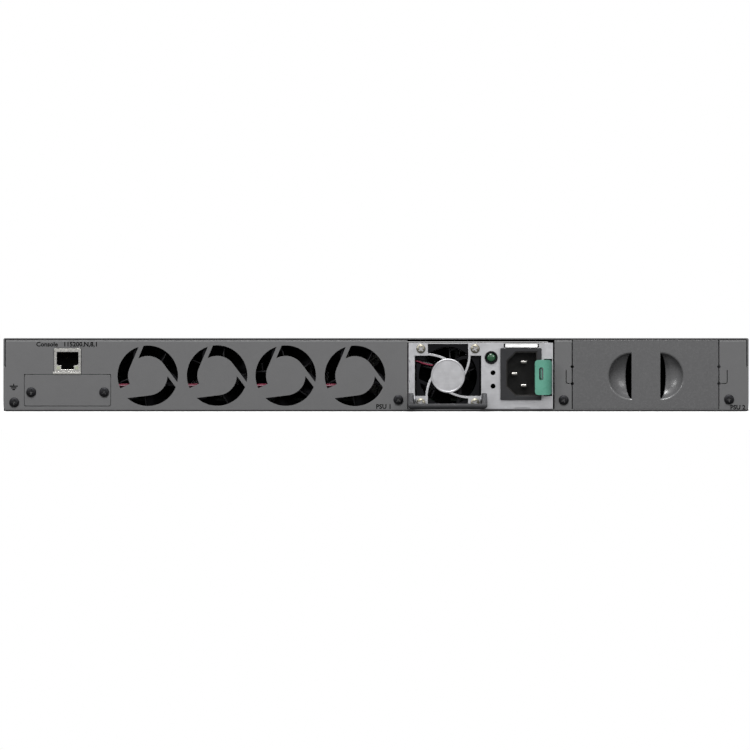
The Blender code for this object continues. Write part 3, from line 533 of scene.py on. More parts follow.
def stroke(points, width):
    """The outline of a line of the given width through the points."""
    spots = [Vector(p) for p in points]
    edges = ([], [])
    for n, spot in enumerate(spots):
        along = spots[min(n + 1, len(spots) - 1)] - spots[max(n - 1, 0)]
        normal = Vector((-along.y, along.x)).normalized() * width / 2
        edges[0].append(tuple(spot + normal))
        edges[1].append(tuple(spot - normal))
    return edges[0] + edges[1][::-1]


def smooth_route(points, per_span):
    """Points along a Catmull-Rom curve through the route's own points."""
    points = [Vector(p) for p in points]
    ends = [2 * points[0] - points[1], *points, 2 * points[-1] - points[-2]]
    route = []
    for a, b, c, d in zip(ends, ends[1:], ends[2:], ends[3:]):
        for n in range(per_span):
            t = n / per_span
            route.append(0.5 * (2 * b + (c - a) * t + (2 * a - 5 * b + 4 * c - d) * t * t
                                + (3 * b - a - 3 * c + d) * t ** 3))
    return route + [points[-1]]


def lettering(text, height, spot, rear=True):
    """Raised ink letters, 0.02 mm thick, on the rear or the front panel."""
    font = bpy.data.curves.new("text", "FONT")
    font.body = text
    font.size = height * 1.4
    font.extrude = 0.012
    font.offset = 0.11
    font.align_x = "CENTER"
    font.resolution_u = 2
    made = temporary(font)
    turn = Matrix.Rotation(pi / 2, 4, "X")
    if not rear:
        turn = Matrix.Rotation(pi, 4, "Z") @ turn
    made.matrix_world = Matrix.Translation(spot) @ turn
    return cleaned(baked(made))


# ---- Pieces ----


def piece(name, meshes, finish, body="chassis", stands_for=()):
    """Joins meshes into one named piece, gives it a finish and lets it ride on a CAD body."""
    shape = bmesh.new()
    for mesh in meshes:
        shape.from_mesh(mesh)
        bpy.data.meshes.remove(mesh)
    bmesh.ops.scale(shape, vec=(MM, MM, MM), verts=shape.verts)
    mesh = bpy.data.meshes.new(name)
    shape.to_mesh(mesh)
    shape.free()
    mesh.materials.clear()
    mesh.materials.append(finishes[finish])
    mesh.shade_smooth()
    mesh.set_sharp_from_angle(angle=radians(38.0))
    made = bpy.data.objects.new(name, mesh)
    scene.collection.objects.link(made)
    weigh = made.modifiers.new("even_shading", "WEIGHTED_NORMAL")
    weigh.keep_sharp = True
    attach(made, body)
    if stands_for:
        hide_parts(*stands_for)
    return made


def fold_boundary(shape, level, outward, inward, top):
    """Folds the straight edge of a panel at the given height inward, round a bend and into a flange."""
    rim = [e for e in shape.edges if e.is_boundary and all(abs(v.co.z - level) < 0.01 for v in e.verts)]
    face_y = rim[0].verts[0].co.y
    sign = 1 if top else -1
    steps = 6
    stations = [(face_y + inward * BEND * (1 - cos(radians(90 * n / steps))),
                 level + sign * BEND * sin(radians(90 * n / steps))) for n in range(1, steps + 1)]
    stations.append((face_y + inward * outward, level + sign * BEND))
    for y, z in stations:
        new = bmesh.ops.extrude_edge_only(shape, edges=rim)["geom"]
        for vertex in [v for v in new if isinstance(v, bmesh.types.BMVert)]:
            vertex.co.y = y
            vertex.co.z = z
        rim = [e for e in new if isinstance(e, bmesh.types.BMEdge)
               and all(abs(v.co.y - y) < 1e-5 and abs(v.co.z - z) < 1e-5 for v in e.verts)]


def panel_sheet(outer, holes, face, inward, flange):
    """A folded end panel: a cut face, with a rounded bend and a flange at its top and bottom."""
    mesh = cleaned(baked(temporary(flat_curve([outer, *holes], 0.0))), dissolve=False)
    shape = bmesh.new()
    shape.from_mesh(mesh)
    bpy.data.meshes.remove(mesh)
    bmesh.ops.transform(shape, matrix=Matrix.Translation((0, face, 0)) @ PLANES["XZ"], verts=shape.verts)
    fold_boundary(shape, BEND, flange, inward, False)
    fold_boundary(shape, PANEL_TOP - BEND, flange, inward, True)
    bmesh.ops.recalc_face_normals(shape, faces=shape.faces)
    flat = next(f for f in shape.faces if abs(f.normal.y) > 0.9)
    if flat.normal.y * inward > 0:
        bmesh.ops.reverse_faces(shape, faces=shape.faces)
    made = temporary(from_bmesh(shape))
    thicken(made, SHEET, -1.0)
    return rounded(baked(made), 0.1, 1, 60.0)


def notched_edge(x, side, top, floor, notches):
    """A bay's edge from top to floor, with small notches cut into the panel beside it."""
    points = [(x, top)]
    for z in notches:
        points += [(x, z + 0.8), (x + side * 0.7, z + 0.4), (x + side * 0.7, z - 0.4), (x, z - 0.8)]
    return points + [(x, floor)]


def panel_outline(low, side_notch, openings=()):
    """The face of an end panel, notched beside the lid's skirts and open at the top for the bays."""
    top, notch_x = PANEL_TOP - BEND, SIDE - SHEET - 0.6
    chamfer = 0.9
    points = [(-SIDE + chamfer, low), (SIDE - chamfer, low), (SIDE, low + chamfer), (SIDE, side_notch),
              (notch_x, side_notch), (notch_x, top)]
    for left, right, floor, notches in sorted(openings, reverse=True):
        points += notched_edge(right, 1, top, floor, notches)
        points += reversed(notched_edge(left, -1, top, floor, notches))
    return points + [(-notch_x, top), (-notch_x, side_notch), (-SIDE, side_notch), (-SIDE, low + chamfer)]


GRILLE_RADIUS = 17.85
GRILLE_HUB = 11.65
GRILLE_STRUT = 2.5
WINDOW_TURNS = (157.0, 37.0, -83.0)
WIDE_STRUT_END = 204.5


def grille_window(turn, following, cut_short=None):
    """One air window between two struts that leave the hub along its tangents."""
    far = degrees(acos(GRILLE_HUB / GRILLE_RADIUS))
    inner = GRILLE_HUB - GRILLE_STRUT
    start = following - far
    rim_end = cut_short or turn - degrees(acos(inner / GRILLE_RADIUS))
    hub_end = cut_short or turn - degrees(acos(inner / GRILLE_HUB))
    return arc(GRILLE_RADIUS, start, rim_end, 32) + arc(GRILLE_HUB, hub_end, following, 20)


CLIP_NOTCHES = (26.3, 16.3)
FAN_ROTORS = [f"fan_rotor_{n}" for n in range(1, 5)]


def make_rear_panel():
    left, centre, right = (reach(f"bay_wall_{side}") for side in ("left", "middle", "right"))
    floor = BEND + 0.2
    bays = ((left[1].x + 0.3, centre[0].x - 0.3, floor, ()),
            (centre[1].x + 0.15, right[0].x - 0.15, floor, CLIP_NOTCHES))
    first, second, third = WINDOW_TURNS
    windows = (grille_window(first, second), grille_window(second, third),
               grille_window(None, first, WIDE_STRUT_END))
    holes = [moved(window, spot_of(name)) for name in FAN_ROTORS for window in windows]

    gap = 0.3
    low, high = reach("module_cover")
    jack_low, jack_high = reach("console_jack")
    jack_left, jack_right, jack_top = jack_low.x - gap, jack_high.x + gap, jack_high.z + gap
    near, far, bottom, top = low.x - gap, high.x + gap, low.z - gap, high.z + gap
    holes.append(arc(1.0, 180, 270, 4, (near + 1, bottom + 1)) + arc(1.0, 270, 360, 4, (far - 1, bottom + 1))
                 + [(far, top), (jack_right, top), (jack_right, jack_top), (jack_left, jack_top),
                    (jack_left, top), (near, top)])

    slit_foot, slit_top = 16.4, 24.4
    for edge, side, width in ((bays[1][0], -1, 3.3), (bays[1][1], 1, 4.6)):
        bend = edge + side * width
        slit = [(edge + side * 1.1, slit_foot), (bend - side, slit_foot), (bend - side * 0.3, slit_foot + 0.3),
                (bend, slit_foot + 1.0), (bend, slit_top)]
        holes.append(stroke(slit, 0.45))

    outline = panel_outline(BEND, lid_low.z - 0.08, bays)
    face = panel_sheet(outline, holes, REAR, 1, panel_high.y - REAR)
    pocket = prism(rounded_rectangle((low.x - 1.2, low.z - 1.1), (high.x + 1.2, high.z - 0.1), 1.4), "XZ",
                   REAR + 1.2, REAR + 2.0)
    piece("rear_panel_skin", [face, pocket], "paint", stands_for=["rear_panel"])


def make_lid():
    """The lid's top and skirts, with a countersink and a flush screw at three places on each side."""
    x, z, bend = SIDE - SHEET / 2, lid_high.z - SHEET / 2, BEND - SHEET / 2
    right = [(x, lid_low.z)] + arc(bend, 0, 90, 6, (x - bend, z - bend))
    lid = rounded(folded(right + mirror(right), "XZ", -lid_low.y, -lid_high.y, SHEET), 0.1, 1, 60.0)
    sinks, heads = [], []
    height = 33.0
    for side in (-1, 1):
        for y in (-120, 0, 120):
            sunk, past, out = side * (SIDE - 0.5), side * (SIDE + 1), side * (SIDE - 0.12)
            sinks.append(turned([(0, sunk), (2.9, sunk), (3.0, past), (0, past)], (y, height), "X", 32))
            head = turned([(0, out - side), (1.6, out - side), (2.75, out), (0, out)], (y, height), "X", 32)
            near, far = sorted((out - side * 0.7, out + side))
            heads.append(carved(head, *[block((near, y - a, height - b), (far, y + a, height + b))
                                        for a, b in ((1.5, 0.35), (0.35, 1.5))]))
    piece("lid_skin", [carved(lid, *sinks)], "paint", stands_for=["top_cover"])
    piece("lid_screws", heads, "black_screw")


def make_tray():
    """The tray's floor and sides, which step inward under the lid's skirts, with vents and rack-ear holes."""
    half, bend = SHEET / 2, BEND - SHEET / 2
    upper, lower = SIDE - SHEET - 0.3 - half, SIDE - half
    right = (arc(bend, -90, 0, 6, (lower - bend, half + bend))
             + [(lower, 24.0), (upper + 0.1, 25.3), (upper, 25.6), (upper, tray_high.z)])
    tray = folded(mirror(right) + right, "XZ", -tray_low.y, -tray_high.y, SHEET)
    cuts = [block((-SIDE + 1.0, low, -2), (SIDE - 1.0, high, 1.6))
            for low, high in ((REAR - 10, REAR + 15), (FRONT - 15, FRONT + 10))]
    vent_low, vent_high, vent_pitch = 6.2, 19.8, 12
    for side in (-1, 1):
        near, far = side * SIDE - 3, side * SIDE + 3
        for n in range(10):
            for y in (93.9 - vent_pitch * n, 97.3 - vent_pitch * n):
                cuts.append(prism(rounded_rectangle((y - 1.2, vent_low), (y + 1.2, vent_high), 1.19), "YZ",
                                  near, far))
        cuts += [rod(2.0, near, far, (y, z), "X", 24) for y in (146, 126) for z in (8, 19)]
    tray = rounded(carved(tray, *cuts), 0.08, 1, 60.0)
    piece("tray_skin", [tray], "paint", stands_for=["base_tray"])


def screw(name, node, turn, finish="black_screw", body="chassis", cross=(1.6, 0.75)):
    """A low domed head with a cross recess, in place of a CAD screw on the rear."""
    low, high = reach(node)
    x, z = centre = spot_of(node)
    radius, height = (high.x - low.x) / 2, REAR - low.y
    length, width = cross
    dome = [(0.0, REAR + 1.6), (1.5, REAR + 1.6), (1.5, REAR + 0.4), (radius * 0.8, REAR + 0.4), (radius, REAR),
            (radius, REAR - height * 0.35)]
    dome += [(radius * cos(t), REAR - height * (0.35 + 0.65 * sin(t))) for t in quarter_turn(6)[:-1]]
    dome.append((0.0, REAR - height))
    outer, inner = REAR - height - 1.0, REAR + 0.7
    bars = [block((x - a, outer, z - b), (x + a, inner, z + b))
            for a, b in ((length, width / 2), (width / 2, length))]
    head = carved(turned(dome, centre, "Y", 36), *bars)
    spot = Matrix.Translation((x, 0, z))
    head.transform(spot @ Matrix.Rotation(radians(turn), 4, "Y") @ spot.inverted())
    piece(name, [head], finish, body, [node])


def make_rear_fittings():
    for n in range(1, 5):
        screw(f"rear_screw_{n}_head", f"rear_screw_{n}", 20 * n)
    low, high = reach("module_cover")
    plate = prism(rim_of(low, high, 0.9), "XZ", low.y, high.y, 0.15)
    piece("module_cover_plate", [plate], "paint", stands_for=["module_cover"])
    for side, turn in (("left", 10), ("right", 45)):
        name = f"module_cover_screw_{side}"
        screw(name + "_head", name, turn)


# ---- Console jack ----

def contact_row(x):
    """Where the eight contacts of a jack stand, round its middle."""
    return [x + (n - 3.5) * 1.02 for n in range(8)]


def make_console():
    """A shielded jack with its latch side down, two light windows and the shield's lip below."""
    low, high = reach("console_jack")
    x, foot = (low.x + high.x) / 2, low.z + 1.5
    top, step = high.z - 2.1, foot + 3.6
    right = [(6.4, top), (6.4, step + 0.5), (5.4, step), (3.8, step), (3.8, foot + 1.2)]
    mouth = moved(right + mirror(right), (x, 0))
    rim = rounded_rectangle((low.x, foot), (high.x, high.z), 0.5, 4)
    inner = rounded_rectangle((low.x + 0.5, foot + 0.5), (high.x - 0.5, high.z - 0.5), 0.3, 3)
    shell = [prism([rim, mouth], "XZ", REAR - 0.4, REAR + 0.3, 0.1),
             prism([rim, inner], "XZ", REAR + 0.25, REAR + 20.5),
             block((low.x - 0.8, REAR - 0.35, low.z - 0.2), (high.x, REAR + 0.4, foot - 0.1), 0.2),
             block((low.x + 0.3, REAR + 0.1, low.z + 0.2), (high.x - 0.3, REAR + 1.0, foot + 0.4))]
    piece("console_jack_shell", shell, "nickel", stands_for=["console_jack"])
    insert = [prism([inner, mouth], "XZ", REAR + 0.35, REAR + 12.0),
              block((low.x + 0.6, REAR + 12.0, foot + 0.6), (high.x - 0.6, REAR + 13.0, high.z - 0.6))]
    piece("console_jack_insert", insert, "black")
    bends = ((4.5, 0.2), (5.0, 0.6), (11.5, 3.6))
    contacts = [wire([(u, REAR + inside, top - drop) for inside, drop in bends], 0.2, 1)
                for u in contact_row(x)]
    piece("console_jack_contacts", contacts, "gold")
    lights = [block((spot - 1.0, REAR - 0.5, foot + 1.2), (spot + 1.0, REAR + 0.2, step - 0.5), 0.2)
              for spot in (x - 5.4, x + 5.4)]
    piece("console_jack_lights", lights, "light_window")


# ---- Fans ----

# A fan's lead: each point's radius, turn and depth in the fan. It leaves the motor and goes through the
# flange's slot and along the waist.
LEAD_ROUTE = ((12.4, 207, 1.2), (17.0, 199.8, 1.2), (19.3, 199, 1.4), (20.2, 199, 2.9), (20.2, 199, 9.0),
              (20.2, 199, 19.0))


def fan_place(node):
    """A fan frame's middle, rear face, depth and width."""
    low, high = reach(node)
    return spot_of(node), low.y, high.y - low.y, high.x - low.x


def fan_housing(centre, rear, depth, size, bore, waist):
    """Two square flanges joined by a round waist."""
    half, flange = size / 2, 4.0
    outline = rounded_rectangle((centre[0] - half, centre[1] - half), (centre[0] + half, centre[1] + half), 2.6)
    ears = [circle(1.9, (centre[0] + sx * 0.4 * size, centre[1] + sz * 0.4 * size), 16)
            for sx in (-1, 1) for sz in (-1, 1)]
    parts = [prism([outline, circle(bore, centre, 64), *ears], "XZ", start, start + flange)
             for start in (rear, rear + depth - flange)]
    near, far = rear + 3.9, rear + depth - 3.9
    ring = [(bore, near), (bore, far), (waist, far), (waist, near), (bore, near)]
    return parts + [turned(ring, centre, "Y", 64)]


def fan_motor(centre, rear, hub, bore, turns):
    """The round motor plate, its core and the swept arms that carry it."""
    plate = [(0, rear), (hub - 0.5, rear), (hub, rear + 0.5), (hub, rear + 2.2), (hub - 3, rear + 2.2),
             (hub - 3, rear + 17), (0, rear + 17)]
    parts = [turned(plate, centre, "Y", 48)]
    for turn in turns:
        spots = [polar(centre, radius, turn + sweep)
                 for radius, sweep in ((hub - 1.5, 22), ((hub + bore) / 2, 1), (bore + 0.8, -12))]
        parts.append(prism(stroke(spots, 2.0), "XZ", rear + 0.02, rear + 2.2, 0.25))
    return parts


def fan_wheel(centre, rear, depth, tip, hub, turn):
    """A rotor: a cup with rounded rim and five swept, tapering blades."""
    start, end = rear + 3.6, rear + depth - 1.5
    cup = [(hub - 1.3, start), (hub, start + 0.2), (hub, end - 1.2), (hub - 1.2, end), (0, end), (0, end - 1.4),
           (hub - 1.3, end - 1.4), (hub - 1.3, start)]
    shape = bmesh.new()
    blades, rows, steps = 5, 8, 14
    for n in range(blades):
        grid = []
        for i in range(rows + 1):
            out = i / rows
            radius = hub - 0.5 + (tip - hub + 0.5) * out
            line = []
            for s in [k / steps for k in range(steps + 1)]:
                x, z = polar(centre, radius, turn + 360 * n / blades + 46 * s - 14 * sin(pi * s) + 6 * out)
                y = start + 1 + (end - start - 2) * (s + (0.5 - s) * 0.12 * out)
                line.append(shape.verts.new((x, y, z)))
            grid.append(line)
        for first, second in zip(grid, grid[1:]):
            for k in range(steps):
                shape.faces.new((first[k], first[k + 1], second[k + 1], second[k]))
    made = temporary(from_bmesh(shape))
    thicken(made, 0.8)
    return [turned(cup, centre, "Y", 48), rounded(baked(made), 0.25, 2, 50.0)]


def lead_strands(name, route, body, node, colours):
    """Three thin wires, laid round the route's own line."""
    for n, finish in enumerate(colours):
        offset = Matrix.Rotation(radians(120 * n + 30), 3, "Y") @ Vector((0.46, 0, 0))
        strand = wire([spot + offset for spot in route], 0.37, 2)
        piece(f"{name}_strand_{n + 1}", [strand], finish, body, [node] if n == 0 else [])


def make_fans():
    bore = 18.4
    for n, rotor in enumerate(FAN_ROTORS, start=1):
        node, leads = f"fan_frame_{n}", f"fan_leads_{n}"
        centre, rear, depth, size = fan_place(node)
        housing = fan_housing(centre, rear, depth, size, bore, waist=19.0)
        housing += fan_motor(centre, rear, hub=11.3, bore=bore, turns=(119, 239, 359))
        piece(node + "_housing", housing, "black", stands_for=[node])
        wheel = fan_wheel(centre, rear, depth, tip=17.8, hub=11.0, turn=20 + 25 * n)
        piece(rotor + "_wheel", wheel, "blade", rotor, [rotor])
        stops = (*LEAD_ROUTE, (20.2, 199, depth))
        spots = [(*polar(centre, radius, turn), inside) for radius, turn, inside in stops]
        spots += [(centre[0] - 17.5, centre[1] - 9.5, 33.0), (centre[0] - 16, centre[1] - 11.8, 38.5)]
        route = smooth_route([(x, rear + inside, z) for x, z, inside in spots], 5)
        lead_strands(leads, route, "chassis", leads, ("red", "pale_lead", "red"))


# ---- Power supply ----

SUPPLY = "power_supply"
HANDLE_AXIS = (-160.0, 6.3)
HANDLE_BAR = (-181.0, 3.0)
HANDLE_BOSS = 4.4
HANDLE_ROD = 1.7
TONGUE = (76.3, 95.3)


def swirl_arm(turn, centre):
    """A thin curved arm from a corner tab to the hub, which it meets along a tangent."""
    start, bend, end = Vector((-12.4, 12.7)), Vector((-6.4, 12.6)), Vector((-0.5, 9.4))
    spine = [(1 - t) ** 2 * start + 2 * t * (1 - t) * bend + t * t * end for t in [n / 14 for n in range(15)]]
    around = Matrix.Rotation(radians(turn), 2)
    return moved(stroke([around @ spot for spot in spine], 1.35), centre)


def supply_outline(low, high, centre, foot):
    """The supply face: notches for the tab and at the edges, slits beside the tongue and the fan's window."""
    (cx, cz), top = centre, high.z
    wide = 19.6
    tab = wide - 7.7
    left, right, bottom = cx - wide, cx + wide, low.z + 0.8
    latch_low, latch_high = reach("psu_latch")
    notch_low, notch_high, notch_x = latch_low.z - 0.6, latch_high.z + 0.6, 99.2
    slit_left, slit_right = TONGUE[0] - 0.9, TONGUE[1] + 0.9
    points = [(low.x, low.z), (82.0, low.z), (82.6, low.z + 0.7), (90.4, low.z + 0.7), (91.0, low.z),
              (high.x, low.z), (high.x, notch_low), (notch_x, notch_low), (notch_x, notch_high),
              (high.x, notch_high), (high.x, top), (slit_right, top), (slit_right, foot), (slit_left, foot),
              (slit_left, top), (cx + tab, top), (cx + tab, cz + tab), (right, cz + tab), (right, cz - tab),
              (cx + tab, cz - tab), (cx + tab, bottom), (cx - tab, bottom), (cx - tab, cz - tab),
              (left, cz - tab), (left, cz + tab), (cx - tab, cz + tab), (cx - tab, top), (low.x, top)]
    for z in (29.3, 17.6):
        points += [(low.x, z + 0.7), (low.x + 0.9, z + 0.35), (low.x + 0.9, z - 0.35), (low.x, z - 0.7)]
    return points


def make_supply_face():
    low, high = reach("psu_face")
    centre = spot_of("psu_fan_frame")
    inlet_low, inlet_high = reach("psu_inlet")
    foot, tip = inlet_high.z + 0.15, high.z - 0.2
    holes = [circle(3.4, spot_of("psu_led_lens"), 32), *[circle(1.45, (69.1, z), 20) for z in (22.7, 14.8)],
             rim_of(inlet_low, inlet_high, 1.0, grow=-1.5)]
    plate = prism([supply_outline(low, high, centre, foot), *holes], "XZ", REAR, REAR + 0.6, 0.1, 1)
    disc = ((0, 0.02), (9.0, 0.02), (9.2, -0.16), (9.8, -0.16), (10.1, 0.1), (10.1, 0.58), (0, 0.58))
    hub = turned([(radius, REAR + inside) for radius, inside in disc], centre, "Y", 64)
    arms = [prism(swirl_arm(-90 * n, centre), "XZ", REAR + 0.03, REAR + 0.57, 0.12) for n in range(4)]
    piece("supply_face_plate", [plate, hub, *arms], "zinc", SUPPLY, ["psu_face"])

    y, z = HANDLE_AXIS
    radius = 3.2
    ear = ([(REAR + 0.3, z - radius), (y, z - radius)] + arc(radius, 270, 90, 14, (y, z))[1:-1]
           + [(y, z + radius), (REAR + 0.3, z + radius)])
    ears = [prism([ear, circle(1.5, (y, z), 16)], "YZ", inner, outer, 0.1)
            for inner, outer in ((22.4, 23.2), (61.5, 62.0))]
    # The ears wear the darker copy of the face's zinc: painted shade against the key light's glint.
    piece("supply_face_ears", ears, "ear", SUPPLY)
    section = [(REAR + 0.3, tip), (REAR - 0.2, tip - 0.1), (REAR - 1.4, tip - 0.9), (REAR - 2.0, foot + 0.1)]
    awning = folded(section, "YZ", *TONGUE, 0.5)
    # The tongue wears the darker copy of the face's zinc: painted shade toning down its bright reflection.
    piece("supply_face_tongue", [awning], "bright", SUPPLY)


def make_supply_fan():
    centre, rear, depth, size = fan_place("psu_fan_frame")
    bore = 17.2
    housing = fan_housing(centre, rear, depth, size, bore, waist=17.8)
    housing += fan_motor(centre, rear, hub=10.3, bore=bore, turns=(50, 200, 300))
    left, lead_z = -size / 2, 8.9
    groove = moved(stroke([(-13.8, 7.3), (-17.6, lead_z - 0.2), (left - 1, lead_z)], 2.6), centre)
    housing[0] = carved(housing[0], prism(groove, "XZ", rear - 1, rear + 2.6))
    piece("supply_fan_housing", housing, "black", SUPPLY, ["psu_fan_frame"])
    wheel = fan_wheel(centre, rear, depth, tip=16.6, hub=10.0, turn=10)
    piece("supply_fan_wheel", wheel, "blade", "psu_fan_rotor", ["psu_fan_rotor"])
    spots = ((-9.3, 1.2, 6.4), (-13.8, 1.2, 7.5), (-17.6, 1.3, lead_z - 0.1), (left - 0.4, 1.6, lead_z),
             (left - 1.2, 3.6, lead_z - 0.3), (left - 1.2, 12, 5), (left - 1.2, depth, 0), (-15, 33, -6),
             (-12, 40, -11))
    route = smooth_route([(centre[0] + x, rear + y, centre[1] + z) for x, y, z in spots], 5)
    lead_strands("supply_fan_leads", route, SUPPLY, "psu_fan_leads", ("red", "red", "black_lead"))
    for n in range(1, 5):
        screw(f"supply_fan_screw_{n}_head", f"psu_fan_screw_{n}", 15 * n, "yellow_zinc", SUPPLY, (1.85, 1.05))


def well_outline(grow=0.0):
    """The inlet's recess: a rectangle with two cut corners."""
    half_x, half_z, cut = 8.5 + grow, 12.5 + grow, 5.2 + grow / 2
    return moved([(half_x, -half_z), (half_x, half_z), (cut - half_x, half_z), (-half_x, half_z - cut),
                  (-half_x, cut - half_z), (cut - half_x, -half_z)], (86.0, 22.1))


def make_inlet():
    low, high = reach("psu_inlet")
    flange = prism([rim_of(low, high, 0.6, 4), well_outline(0.6)], "XZ", low.y, REAR, 0.3)
    piece("inlet_flange", [flange], "grey", SUPPLY, ["psu_inlet"])
    inset = 1.8
    well = prism([rim_of(low, high, 0.6, 3, -inset), well_outline()], "XZ", low.y + 0.35, REAR + 14.4, 0.15)
    floor = block((low.x + inset, REAR + 14.3, low.z + inset), (high.x - inset, REAR + 20, high.z - inset), 0.2)
    piece("inlet_well", [well, floor], "well", SUPPLY)
    for label in ("line", "neutral", "earth"):
        pin = block(*reach(f"psu_pin_{label}"), 0.75, 3)
        # The pins wear the darker nickel copy: painted shade of the inlet's recess.
        piece(f"inlet_pin_{label}", [pin], "pin", SUPPLY, [f"psu_pin_{label}"])


def make_status_light():
    low, high = reach("psu_led_bezel")
    ring = [(2.75, REAR + 4), (2.75, low.y + 0.25), (3.0, low.y), (3.5, low.y), (3.85, low.y + 0.35),
            (3.85, REAR), (3.2, REAR), (3.2, REAR + 4), (2.75, REAR + 4)]
    bezel = turned(ring, spot_of("psu_led_bezel"), "Y", 48)
    piece("status_light_bezel", [bezel], "black", SUPPLY, ["psu_led_bezel"])
    low, high = reach("psu_led_lens")
    dome = [(0, high.y), (2.5, high.y), (2.5, low.y + 0.9)]
    dome += [(2.5 * cos(t), low.y + 0.9 - 0.9 * sin(t)) for t in quarter_turn(8)[:-1]]
    lens = turned(dome + [(0, low.y)], spot_of("psu_led_bezel"), "Y", 40)
    piece("status_light_lens", [lens], "lens", SUPPLY, ["psu_led_lens"])


def make_handle():
    """A bail made of two tapered arms with rounded edges and a round bar."""
    low, high = reach("psu_handle")
    along = Vector(HANDLE_BAR) - Vector(HANDLE_AXIS)
    lean = degrees(along.angle_signed(Vector((1.0, 0.0))))
    spread = degrees(acos((HANDLE_BOSS - HANDLE_ROD) / along.length))
    arm = (arc(HANDLE_BOSS, lean + spread, lean + 360 - spread, 32, HANDLE_AXIS)
           + arc(HANDLE_ROD, lean - spread, lean + spread, 16, HANDLE_BAR))
    parts = [prism(arm, "YZ", low.x, low.x + 3.4, 0.6, 3), prism(arm, "YZ", high.x - 3.1, high.x, 0.6, 3),
             rod(HANDLE_ROD - 0.1, low.x + 0.6, high.x - 0.6, HANDLE_BAR, "X", 32)]
    corners = rounded_rectangle((low.x, low.z), (high.x, high.z + 5), 2.4, 8)
    bail = [combined(part, [prism(corners, "XZ", low.y - 2, high.y + 2)], "INTERSECT") for part in parts]
    pins = [rod(1.3, near, far, HANDLE_AXIS, "X") for near, far in
            ((low.x + 2, low.x + 4.9), (high.x - 4.1, high.x - 2))]
    piece("handle_bail", [*bail, *pins], "grey", "psu_handle", ["psu_handle"])


def make_latch():
    """The release tab: a curved strip with rounded corners and a slot with a rib in it."""
    low, high = reach("psu_latch")
    root, slot_x, slot_low, slot_high = 102.9, 97.3, 19.5, 24.7
    section = ([(root, REAR + 2.0), (root, REAR - 3.0)] + arc(5.5, 0, -80, 14, (root - 5.5, REAR - 4.0))
               + [(low.x + 0.1, REAR - 9.9)])
    mask = prism(rim_of(low, high, 2.2, 8), "XZ", REAR - 20, REAR + 8)
    tab = combined(folded(section, "XY", low.z, high.z, 1.9), [mask], "INTERSECT")
    slot = arc(1.25, 180, 360, 10, (slot_x, slot_low)) + arc(1.25, 0, 180, 10, (slot_x, slot_high))
    tab = carved(rounded(tab, 0.5, 3, 50.0), prism(slot, "XZ", REAR - 14, REAR - 6))
    near, far = slot_x - 0.25, slot_x + 0.25
    rib = [block((near, REAR - 10.0, slot_low - 0.1), (far, REAR - 8.6, slot_high + 0.1), 0.1),
           block((near, REAR - 9.1, slot_low - 1.5), (far, REAR - 8.55, slot_high + 1.5))]
    piece("release_tab", [tab, *rib], "green", "psu_latch", ["psu_latch"])


def make_supply_case():
    """The supply's sheet-metal case, with vents and a slot for its plug in the inner end."""
    low, high = reach("psu_case")
    wall = 0.6
    outer = rim_of(low, high, 0.7, 4)
    tube = prism([outer, rim_of(low, high, 0.3, 3, -wall)], "XZ", low.y, high.y - wall)
    holes = [rounded_rectangle((32.0, 4.4), (92.0, 9.4), 0.5, 3)]
    holes += [rounded_rectangle((x, 14.0), (x + 3.2, 36.0), 1.59, 6) for x in [26 + 6.4 * n for n in range(12)]]
    end = prism([outer, *holes], "XZ", high.y - wall, high.y, 0.1)
    piece("supply_case_shell", [tube, end], "zinc", SUPPLY, ["psu_case"])


# ---- Blank cover ----

GRIP_Z = 20.8


def halved(mesh, flat_x, side):
    """The part of a closed mesh on one side of an upright plane, closed again."""
    shape = bmesh.new()
    shape.from_mesh(mesh)
    geometry = shape.verts[:] + shape.edges[:] + shape.faces[:]
    cut = bmesh.ops.bisect_plane(shape, geom=geometry, plane_co=(flat_x, 0, 0), plane_no=(-side, 0, 0),
                                 clear_outer=True)
    rim = [e for e in cut["geom_cut"] if isinstance(e, bmesh.types.BMEdge)]
    bmesh.ops.edgenet_fill(shape, edges=rim)
    bmesh.ops.recalc_face_normals(shape, faces=shape.faces)
    shape.to_mesh(mesh)
    shape.free()
    return mesh


def half_bowl(flat_x, side):
    """Half of the rounded bulge behind a grip, cut at the grip's flat wall."""
    shape = bmesh.new()
    bmesh.ops.create_uvsphere(shape, u_segments=64, v_segments=48, radius=1.0)
    radii = Matrix.Diagonal((16.2, 8.1, 15.2, 1.0))
    place = Matrix.Translation((flat_x, REAR + 0.6, GRIP_Z)) @ radii
    bmesh.ops.transform(shape, matrix=place, verts=shape.verts)
    return halved(from_bmesh(shape), flat_x, side)


def half_dish(flat_x, side):
    """Half of a shallow dish whose rim flares out smoothly to the face."""
    radius, depth, flare = 13.1, 7.0, 1.3
    quarter = quarter_turn(16)
    profile = [(0, REAR + depth)]
    profile += [(radius * sin(t), REAR + flare + (depth - flare) * cos(t)) for t in quarter]
    profile += [(radius + flare * (1 - cos(t)), REAR + flare * (1 - sin(t))) for t in quarter[1::2]]
    profile += [(radius + flare, REAR - 2), (0, REAR - 2)]
    return halved(turned(profile, (flat_x, GRIP_Z), "Y", 96), flat_x, side)


def open_slot(flat_x, side):
    """The slot that opens each grip to the inside, straight along the flat wall and bulging away from it."""
    wide, tall = 3.4, 13.4
    outline = [(flat_x - side * 0.05, GRIP_Z + tall * k) for k in (-1, 1)]
    outline += [(flat_x + side * wide * cos(t), GRIP_Z + tall * sin(t))
                for t in [pi * (0.5 - n / 24) for n in range(1, 24)]]
    return prism(outline, "XZ", REAR - 2, REAR + 17)


